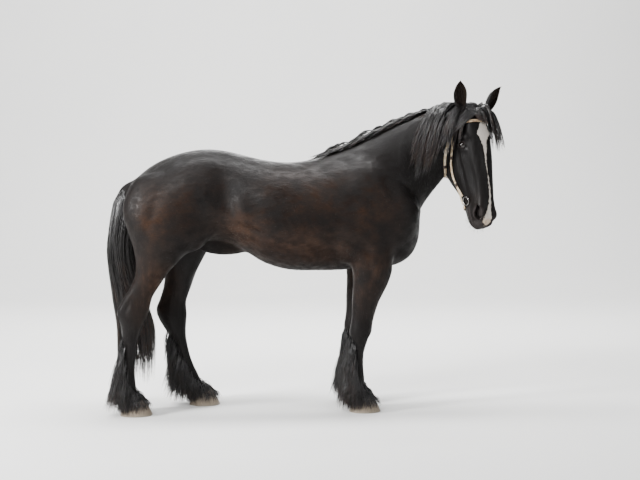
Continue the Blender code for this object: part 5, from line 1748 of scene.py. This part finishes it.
def buckle(tree):
    """The small metal buckle of the throatlatch on the right cheek."""
    spots = laid_path(mirrored(HALF_THROATLATCH), tree, STRAP_LIFT + BRAID_STRAND, LAID_STEPS)
    centre, ahead, across, out = path_frame(spots, BUCKLE_STEP)
    half_width, half_length = BUCKLE_HALF
    rings = []
    for x, y in BUCKLE_CORNERS:
        spot = centre + across * x * half_width + ahead * y * half_length + out * 0.0035
        way = (across * x + ahead * y).normalized()
        rings.append(wire_ring(spot, way, out, BUCKLE_WIRE, 10))
    frame = loft("frame", rings, endless=True)
    rings = []
    for t in np.linspace(0, 1, 9):
        spot = centre + out * (0.0045 + 0.0015 * math.sin(math.pi * t)) + ahead * (t - 0.5) * 0.028
        rings.append(wire_ring(spot, across, out, 0.0014, 8))
    return joined("throatlatch_buckle", [frame, loft("tongue", rings)])


def build_bit_ring(name, side, tree):
    """The bit's round ring beside the corner of the mouth."""
    down, back, left = RING_PLACE
    spot, normal, _, _ = tree.find_nearest(on_head(down, back, left * side))
    centre = spot + normal * (RING_WIRE + 0.003)
    rise = (-HEAD_DOWN + normal * HEAD_DOWN.dot(normal)).normalized()
    across = rise.cross(normal)
    rings = []
    for c, s in circle(48):
        out = rise * c + across * s
        rings.append(wire_ring(centre + out * RING_RADIUS, out, normal, RING_WIRE, 12))
    return smooth_shaded(loft(name, rings, endless=True))


def build_bridle(tree):
    """The headstall with its browband, throatlatch, curb strap and bit rings."""
    made = [braided_strap("headstall_braid", mirrored(HALF_HEADSTALL), tree),
            flat_strap("browband_strap", mirrored(HALF_BROWBAND), tree),
            braided_strap("throatlatch_braid", mirrored(HALF_THROATLATCH), tree),
            flat_strap("curb_leather", mirrored(HALF_CURB), tree)]
    for item, node in zip(made, ("headstall", "browband", "throatlatch", "curb_strap")):
        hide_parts(node)
    threads = [stitches("browband_stitches", mirrored(HALF_BROWBAND), tree),
               stitches("curb_stitches", mirrored(HALF_CURB), tree)]
    knots = [knot("headstall_knots_{}".format(k + 1), HALF_HEADSTALL, place, tree)
             for k, place in enumerate(HEADSTALL_KNOTS)]
    knots.append(knot("throatlatch_knots", HALF_THROATLATCH, THROATLATCH_KNOT, tree))
    loops = [braided_strap("loop", [(u, v, w * side) for u, v, w in HALF_BIT_LOOP], tree)
             for side in (1, -1)]
    return [*made, joined("bit_loop_braids", loops)], threads, knots


def tree_of(*objects):
    """A search tree over the faces of some meshes."""
    points, faces = [], []
    for item in objects:
        start = len(points)
        points += [v.co.copy() for v in item.data.vertices]
        faces += [[start + i for i in p.vertices] for p in item.data.polygons]
    return BVHTree.FromPolygons(points, faces)


def build_skin():
    """The whole skin of the horse."""
    skin = add_ears(fused_skin())
    refine_head(skin)
    finish_skin(skin)
    return skin


def offset():
    """How far the frame's horse is moved from the frame that these sizes use."""
    forward, depth, half = HOOF_GROUND
    heel = Vector((HOOF_X["fore_left"] + forward - depth, HOOF_Y - half, 0.0))
    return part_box("hoof_fore_left")[0] - heel


def place_camera(shift):
    """The photograph's view: its focal length, height and turn."""
    data = bpy.data.cameras.new("camera")
    data.sensor_width = 36.0
    data.lens = data.sensor_width * FOCAL_PIXELS / PHOTO_WIDTH
    data.shift_y = (HORIZON_ROW - PHOTO_HEIGHT / 2) / PHOTO_WIDTH
    camera = bpy.data.objects.new("camera", data)
    bpy.context.scene.collection.objects.link(camera)
    back = Vector((-math.sin(CAMERA_YAW), -math.cos(CAMERA_YAW), 0.0))
    camera.location = shift + back * CAMERA_DISTANCE + Vector((0, 0, CAMERA_HEIGHT))
    camera.rotation_euler = (math.radians(90), 0.0, -CAMERA_YAW)
    bpy.context.scene.camera = camera


def add_light(name, place, target, size, power):
    """A large soft rectangle of light."""
    data = bpy.data.lights.new(name, "AREA")
    data.shape = "RECTANGLE"
    data.size, data.size_y = size
    data.energy = power
    lamp = bpy.data.objects.new(name, data)
    bpy.context.scene.collection.objects.link(lamp)
    lamp.location = place
    lamp.rotation_euler = (Vector(target) - Vector(place)).to_track_quat("-Z", "Y").to_euler()


def build_stage():
    """A pale floor that rises into a backdrop, and soft studio light."""
    profile = [(FLOOR_FRONT, 0.0), (FLOOR_BACK, 0.0)]
    profile += [(FLOOR_BACK + BACKDROP_BEND * math.sin(a), BACKDROP_BEND * (1 - math.cos(a)))
                for a in (math.radians(90) * k / 24 for k in range(1, 25))]
    profile.append((FLOOR_BACK + BACKDROP_BEND, BACKDROP_HEIGHT))
    bm = bmesh.new()
    rows = [[bm.verts.new((x, y, z)) for x in (-FLOOR_HALF_WIDTH, FLOOR_HALF_WIDTH)]
            for y, z in profile]
    for low, high in zip(rows, rows[1:]):
        bm.faces.new((low[0], low[1], high[1], high[0]))
    floor = object_from(bm, "floor")
    floor.data.shade_smooth()
    floor.data.materials.append(floor_material())
    world = bpy.data.worlds.new("studio")
    world.use_nodes = True
    background = world.node_tree.nodes["Background"]
    background.inputs["Color"].default_value = (*SKY, 1.0)
    background.inputs["Strength"].default_value = SKY_STRENGTH
    bpy.context.scene.world = world
    for light in LIGHTS:
        add_light(*light)


def node(tree, kind, inputs=None, **settings):
    """A shader node with its settings, its values and its links."""
    made = tree.nodes.new(kind)
    for name, value in settings.items():
        setattr(made, name, value)
    for name, value in (inputs or {}).items():
        if isinstance(value, bpy.types.NodeSocket):
            tree.links.new(value, made.inputs[name])
        else:
            made.inputs[name].default_value = value
    return made


def shader_of(name, inputs):
    """A new material with values on its Principled shader: the material, its tree, the shader."""
    made = bpy.data.materials.new(name)
    made.use_nodes = True
    shader = made.node_tree.nodes["Principled BSDF"]
    for key, value in inputs.items():
        shader.inputs[key].default_value = value
    return made, made.node_tree, shader


def attribute(tree, name):
    """The value that the mesh stores under a name."""
    return node(tree, "ShaderNodeAttribute", attribute_name=name).outputs["Fac"]


def place_of(tree, scale=(1.0, 1.0, 1.0), turn=(0.0, 0.0, 0.0)):
    """The place on the object, stretched and turned."""
    coordinates = node(tree, "ShaderNodeTexCoord")
    return node(tree, "ShaderNodeMapping", {"Vector": coordinates.outputs["Object"], "Scale": scale,
                                            "Rotation": turn}).outputs["Vector"]


def noise(tree, vector, scale, detail=3.0, roughness=0.55):
    """Soft random values from 0 to 1."""
    return node(tree, "ShaderNodeTexNoise", {"Vector": vector, "Scale": scale, "Detail": detail,
                                             "Roughness": roughness}).outputs["Fac"]


def mixed(tree, share, low, high):
    """Two colours mixed by a share."""
    low, high = (v if isinstance(v, bpy.types.NodeSocket) else (*v, 1.0) for v in (low, high))
    return node(tree, "ShaderNodeMix", {0: share, 6: low, 7: high}, data_type="RGBA").outputs[2]


def blended(tree, share, low, high):
    """Two values mixed by a share."""
    return node(tree, "ShaderNodeMix", {0: share, 2: low, 3: high}).outputs[0]


def maths(tree, operation, first, second=0.0):
    """One sum on values."""
    return node(tree, "ShaderNodeMath", {0: first, 1: second}, operation=operation).outputs[0]


def times(tree, value, *others):
    """The product of values."""
    for other in others:
        value = maths(tree, "MULTIPLY", value, other)
    return value


def plus(tree, value, *others):
    """The sum of values."""
    for other in others:
        value = maths(tree, "ADD", value, other)
    return value


def ranged(tree, value, low, high, to_low=0.0, to_high=1.0):
    """A value spread from one range to another and held there."""
    return node(tree, "ShaderNodeMapRange", {"Value": value, "From Min": low, "From Max": high,
                                             "To Min": to_low, "To Max": to_high},
                interpolation_type="SMOOTHSTEP").outputs["Result"]


def bumped(tree, shader, height, distance, strength, under=None):
    """Sets a bump on the shader, over another one if given."""
    inputs = {"Height": height, "Distance": distance, "Strength": strength}
    if under:
        inputs["Normal"] = under
    made = node(tree, "ShaderNodeBump", inputs)
    tree.links.new(made.outputs["Normal"], shader.inputs["Normal"])
    return made.outputs["Normal"]


def coat_noise(tree, upright, body_scale, leg_scale, lean, detail, roughness):
    """Noise stretched along the hair: leaning on the body, upright on the legs."""
    turned = place_of(tree, body_scale, (0.0, math.radians(lean), 0.0))
    body = noise(tree, turned, 1.0, detail, roughness)
    leg = noise(tree, place_of(tree, leg_scale), 1.0, detail, roughness)
    return blended(tree, upright, body, leg)


def dark_coat(tree, cloud, sheen_patch, strands):
    """Black hair with its own brown tones, made browner as painted sheen where the coat is glossier, darker
    in the ears.
    """
    dapple = noise(tree, place_of(tree), 13.0, 2.0)
    # The patch noise that lowers the coat's roughness also raises the brown, so glossier patches are
    # painted lighter: painted sheen on top of the coat's own brown tone.
    brown = times(tree, attribute(tree, "brown"), ranged(tree, cloud, 0.25, 0.60),
                  ranged(tree, sheen_patch, 0.30, 0.65, 0.45, 1.1), ranged(tree, dapple, 0.25, 0.65, 0.55, 1.0),
                  ranged(tree, strands, 0.25, 0.75, 0.5, 1.25))
    return mixed(tree, attribute(tree, "inside"), mixed(tree, brown, BLACK_COAT, BROWN_COAT), EAR_INSIDE)


def white_share(tree):
    """1 in the white marking, with a ragged edge."""
    fray = maths(tree, "SUBTRACT", noise(tree, place_of(tree, (260.0, 260.0, 70.0)), 1.0, 3.0), 0.5)
    ragged = maths(tree, "SUBTRACT", noise(tree, place_of(tree), 48.0, 2.0), 0.5)
    edge = plus(tree, attribute(tree, "white"), times(tree, fray, 0.022), times(tree, ragged, 0.020))
    return ranged(tree, edge, *MARKING_EDGE)


def coat_gloss(tree, cloud, sheen_patch, strands, bare):
    """The coat's roughness: uneven, and dull where it faces the ground."""
    facing = node(tree, "ShaderNodeNewGeometry").outputs["Normal"]
    facing_up = node(tree, "ShaderNodeSeparateXYZ", {0: facing}).outputs["Z"]
    return plus(tree, ranged(tree, strands, 0.2, 0.8, 0.26, 0.40),
                ranged(tree, sheen_patch, 0.35, 0.65, 0.26, 0.0), times(tree, bare, 0.10),
                ranged(tree, facing_up, -0.7, -0.1, 0.30, 0.0), times(tree, cloud, 0.08))


def coat_material():
    """Glossy black hair with brown tones and painted sheen in its glossier patches, the white marking and
    bare dark skin.
    """
    made, tree, shader = shader_of("coat", {"IOR": 1.30, "Specular IOR Level": 0.26})
    upright, bare = attribute(tree, "upright"), attribute(tree, "bare")
    strands = coat_noise(tree, upright, *STRAND_NOISE)
    # Patches of gloss and bump that also paint sheen into the coat's brown
    sheen_patch = coat_noise(tree, upright, *PATCH_NOISE)
    clumps = coat_noise(tree, upright, *CLUMP_NOISE)
    cloud = noise(tree, place_of(tree), 3.5, 4.0)
    skin = mixed(tree, noise(tree, place_of(tree), 160.0, 3.0), DARK_SKIN, DARK_SKIN_LIGHT)
    dark = mixed(tree, bare, dark_coat(tree, cloud, sheen_patch, strands), skin)
    blotch = ranged(tree, noise(tree, place_of(tree), 55.0, 3.0), 0.42, 0.56)
    pale = mixed(tree, bare, mixed(tree, strands, WHITE_SHADE, WHITE_HAIR),
                 mixed(tree, blotch, PINK_SKIN, PALE_SKIN))
    tree.links.new(mixed(tree, white_share(tree), dark, pale), shader.inputs["Base Color"])
    tree.links.new(coat_gloss(tree, cloud, sheen_patch, strands, bare), shader.inputs["Roughness"])
    wrinkles = node(tree, "ShaderNodeTexVoronoi", {"Vector": place_of(tree), "Scale": 420.0},
                    feature="DISTANCE_TO_EDGE").outputs["Distance"]
    fine = blended(tree, bare, strands, ranged(tree, wrinkles, 0.0, 0.35))
    under = bumped(tree, shader, sheen_patch, 0.0080, 0.35)
    under = bumped(tree, shader, clumps, 0.0030, 0.35, under)
    bumped(tree, shader, fine, 0.0007, 0.80, under)
    return made


def hair_material(name, roughness, tips_from):
    """Long hair: black at the root, sunned brown at some of the tips."""
    made, tree, shader = shader_of(name, {"Roughness": roughness, "Specular IOR Level": 0.5,
                                          "Coat Weight": 0.10, "Coat Roughness": 0.30})
    along, tint = attribute(tree, "along"), attribute(tree, "tint")
    cloud = ranged(tree, noise(tree, place_of(tree), 7.0, 2.0), 0.35, 0.60)
    sunned = times(tree, ranged(tree, along, tips_from, 1.0), ranged(tree, tint, 0.25, 1.0), cloud)
    shade = mixed(tree, sunned, HAIR_ROOT, HAIR_TIP)
    lit = mixed(tree, times(tree, tint, 0.5), shade, tuple(c * 1.6 for c in HAIR_ROOT))
    tree.links.new(lit, shader.inputs["Base Color"])
    streaks = noise(tree, place_of(tree, (900.0, 900.0, 90.0)), 1.0, 2.0)
    bumped(tree, shader, streaks, 0.0004, 0.5)
    return made


def tuft_material():
    """The short coat's tufts, with the same marking and browns as the skin beneath."""
    made, tree, shader = shader_of("coat_hair", {"Roughness": 0.48, "Specular IOR Level": 0.35})
    cloud = noise(tree, place_of(tree), 3.5, 4.0)
    brown = times(tree, attribute(tree, "brown"), ranged(tree, cloud, 0.30, 0.62), attribute(tree, "tint"))
    hair = mixed(tree, attribute(tree, "inside"), mixed(tree, brown, BLACK_COAT, BROWN_COAT), EAR_HAIR)
    white = ranged(tree, attribute(tree, "white"), *MARKING_EDGE)
    streaks = noise(tree, place_of(tree, (700.0, 700.0, 120.0)), 1.0, 2.0)
    tree.links.new(mixed(tree, white, hair, mixed(tree, streaks, WHITE_SHADE, WHITE_HAIR)),
                   shader.inputs["Base Color"])
    bumped(tree, shader, streaks, 0.0003, 0.4)
    return made


def far_out(tree, across, upward):
    """How far a place is from the middle, by its two distances."""
    return maths(tree, "SQRT", plus(tree, times(tree, across, across), times(tree, upward, upward)))


def eye_material():
    """A dark brown iris with a level pupil under a wet cornea."""
    made, tree, shader = shader_of("eye", {"Roughness": 0.05, "Specular IOR Level": 0.5,
                                           "Coat Weight": 0.2, "Coat Roughness": 0.02})
    slit, rise = attribute(tree, "slit"), attribute(tree, "rise")
    pupil = far_out(tree, *(maths(tree, "DIVIDE", value, half)
                            for value, half in zip((slit, rise), PUPIL_HALF)))
    iris = mixed(tree, noise(tree, place_of(tree), 520.0, 4.0), IRIS_DARK, IRIS_LIGHT)
    iris = mixed(tree, ranged(tree, far_out(tree, slit, rise), 0.0125, 0.0170), iris, EYE_RIM)
    tree.links.new(mixed(tree, ranged(tree, pupil, 0.92, 1.06), PUPIL, iris), shader.inputs["Base Color"])
    return made


def horn_material():
    """Hoof horn with growth rings, fine upright fibres and a worn pale edge."""
    made, tree, shader = shader_of("hoof_horn", {"Specular IOR Level": 0.4})
    place = place_of(tree)
    height = node(tree, "ShaderNodeSeparateXYZ", {"Vector": place}).outputs["Z"]
    fibres = noise(tree, place_of(tree, (300.0, 300.0, 18.0)), 1.0, 4.0)
    wave = plus(tree, times(tree, height, 820.0), times(tree, noise(tree, place, 30.0), 5.0))
    rings = maths(tree, "SINE", wave)
    ragged = plus(tree, height, times(tree, maths(tree, "SUBTRACT", fibres, 0.5), 0.03))
    base = mixed(tree, ranged(tree, ragged, 0.018, 0.060), HORN_PALE, HORN_DARK)
    base = mixed(tree, ranged(tree, rings, -1.0, 1.0, 0.0, 0.35), base, HORN_RING)
    base = mixed(tree, ranged(tree, fibres, 0.45, 0.75, 0.0, 0.6), base, HORN_STREAK)
    dust = times(tree, ranged(tree, height, 0.0, 0.022, 1.0, 0.0),
                 ranged(tree, noise(tree, place, 90.0), 0.4, 0.6))
    tree.links.new(mixed(tree, dust, base, DUST), shader.inputs["Base Color"])
    tree.links.new(ranged(tree, fibres, 0.3, 0.7, 0.42, 0.62), shader.inputs["Roughness"])
    under = bumped(tree, shader, rings, 0.0004, 0.6)
    bumped(tree, shader, fibres, 0.0006, 0.6, under)
    return made


def leather_material(name, light, dark, grain):
    """Leather or rawhide with grain, scuffs and darker hollows."""
    made, tree, shader = shader_of(name, {"Specular IOR Level": 0.45, "Coat Weight": 0.05,
                                          "Coat Roughness": 0.35})
    place = place_of(tree)
    cells = node(tree, "ShaderNodeTexVoronoi", {"Vector": place, "Scale": grain}).outputs["Distance"]
    worn = noise(tree, place, 55.0, 4.0)
    fine = noise(tree, place, 900.0, 3.0)
    shade = mixed(tree, ranged(tree, worn, 0.34, 0.62), dark, light)
    shade = mixed(tree, ranged(tree, fine, 0.45, 0.75, 0.0, 0.45), shade, dark)
    tree.links.new(shade, shader.inputs["Base Color"])
    tree.links.new(ranged(tree, worn, 0.3, 0.7, 0.40, 0.58), shader.inputs["Roughness"])
    under = bumped(tree, shader, cells, 0.0005, 0.5)
    bumped(tree, shader, fine, 0.0003, 0.5, under)
    return made


def steel_material():
    """Satin steel with fine scratches and a little tarnish."""
    made, tree, shader = shader_of("bit_steel", {"Metallic": 1.0})
    place = place_of(tree)
    scratches = noise(tree, place_of(tree, (1200.0, 90.0, 1200.0)), 1.0, 3.0)
    tarnish = ranged(tree, noise(tree, place, 120.0, 4.0), 0.42, 0.66)
    tree.links.new(mixed(tree, tarnish, STEEL, STEEL_DULL), shader.inputs["Base Color"])
    tree.links.new(ranged(tree, scratches, 0.3, 0.7, 0.18, 0.36), shader.inputs["Roughness"])
    bumped(tree, shader, scratches, 0.0001, 0.5)
    return made


def floor_material():
    """A pale matt floor with a faint grain."""
    made, tree, shader = shader_of("floor", {"Roughness": 0.8, "Specular IOR Level": 0.2})
    cloud = noise(tree, place_of(tree), 0.6, 4.0)
    tree.links.new(mixed(tree, cloud, FLOOR_LOW, FLOOR_HIGH), shader.inputs["Base Color"])
    bumped(tree, shader, noise(tree, place_of(tree), 180.0, 2.0), 0.0006, 0.25)
    return made


def settle(item, shift, material):
    """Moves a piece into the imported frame, gives it its material and lets it ride."""
    item.data.transform(Matrix.Translation(shift))
    item.data.materials.clear()
    item.data.materials.append(material)
    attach(item, "root")
    return item


def dress_body(frame, rng, shift, hooves):
    """The skin with all its hair, in place of the flesh: returns the search tree of the skin."""
    skin = build_skin()
    tree = tree_of(skin)
    leg_tree = tree_of(skin, *hooves)
    unwrap = skin_unwrap(skin)
    mane = [*build_mane(rng, tree, unwrap), build_forelock(rng, tree, unwrap)]
    tail = build_tail_hair(rng, unwrap)
    feather = [build_feather(rng, leg_tree, unwrap, kind, side)
               for kind in ("fore", "hind") for side in (1, -1)]
    fine = [build_whiskers(rng, skin, unwrap), build_lashes(rng, unwrap)]
    tufts = [*build_short_coat(rng, skin, unwrap), build_ear_hair(rng, skin, unwrap)]
    for item in tufts:
        points = points_of(item.data)
        add_attribute(item.data, "white", marking_field(points))
        add_attribute(item.data, "brown", brown_field(points))
        add_attribute(item.data, "inside", np.full(len(points), float(item.name == "ear_hair")))
    long_hair = hair_material("mane_hair", 0.36, 0.45)
    leg_hair = hair_material("feather_hair", 0.44, 0.60)
    short_hair = tuft_material()
    settle(skin, shift, coat_material())
    for items, material, slot in ((mane, long_hair, "mane_hair"), (tail, long_hair, "mane_hair"),
                                  (feather, leg_hair, "mane_hair"), (fine, leg_hair, "mane_hair"),
                                  (tufts, short_hair, "coat")):
        for item in items:
            settle(item, shift, material)
    flesh = [n for n in frame["nodes"]
             if n.startswith(("torso", "neck", "head", "tail", "ear", "forearm", "gaskin", "cannon"))
             and n != "headstall"]
    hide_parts(*flesh)
    return tree


def build_hooves():
    """All four hooves."""
    return [build_hoof("horn_" + name, Vector((x, HOOF_Y if name.endswith("left") else -HOOF_Y, CORONET_Z)))
            for name, x in HOOF_X.items()]


def dress_small_parts(tree, shift, hooves):
    """Hooves, eyes and the bridle, in place of their solids."""
    horn, wet, steel = horn_material(), eye_material(), steel_material()
    for hoof in hooves:
        settle(hoof, shift, horn)
        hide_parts(hoof.name.replace("horn", "hoof"))
    for side, side_name in SIDES:
        eye = settle(build_eye("eyeball_" + side_name, side), shift, wet)
        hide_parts("eye_" + side_name)
        ring = settle(build_bit_ring("ring_" + side_name, side, tree), shift, steel)
        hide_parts("bit_ring_" + side_name)
    settle(buckle(tree), shift, steel)
    rawhide = leather_material("rawhide", RAWHIDE, RAWHIDE_DARK, 520.0)
    tan = leather_material("tan_leather", TAN_LEATHER, TAN_DARK, 700.0)
    dark = leather_material("knot_leather", KNOT_LEATHER, KNOT_DARK, 800.0)
    thread = leather_material("thread", THREAD, THREAD_DARK, 1500.0)
    straps, threads, knots = build_bridle(tree)
    for item in straps:
        settle(item, shift, rawhide if "braid" in item.name else tan)
    for item in threads:
        settle(item, shift, thread)
    for item in knots:
        settle(item, shift, dark)
    for item in (*straps, *threads, *knots):
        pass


def main():
    """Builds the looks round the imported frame."""
    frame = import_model()
    shift = offset()
    rng = np.random.default_rng(SEED)
    hooves = build_hooves()
    tree = dress_body(frame, rng, shift, hooves)
    dress_small_parts(tree, shift, hooves)
    place_camera(shift)
    build_stage()


main()
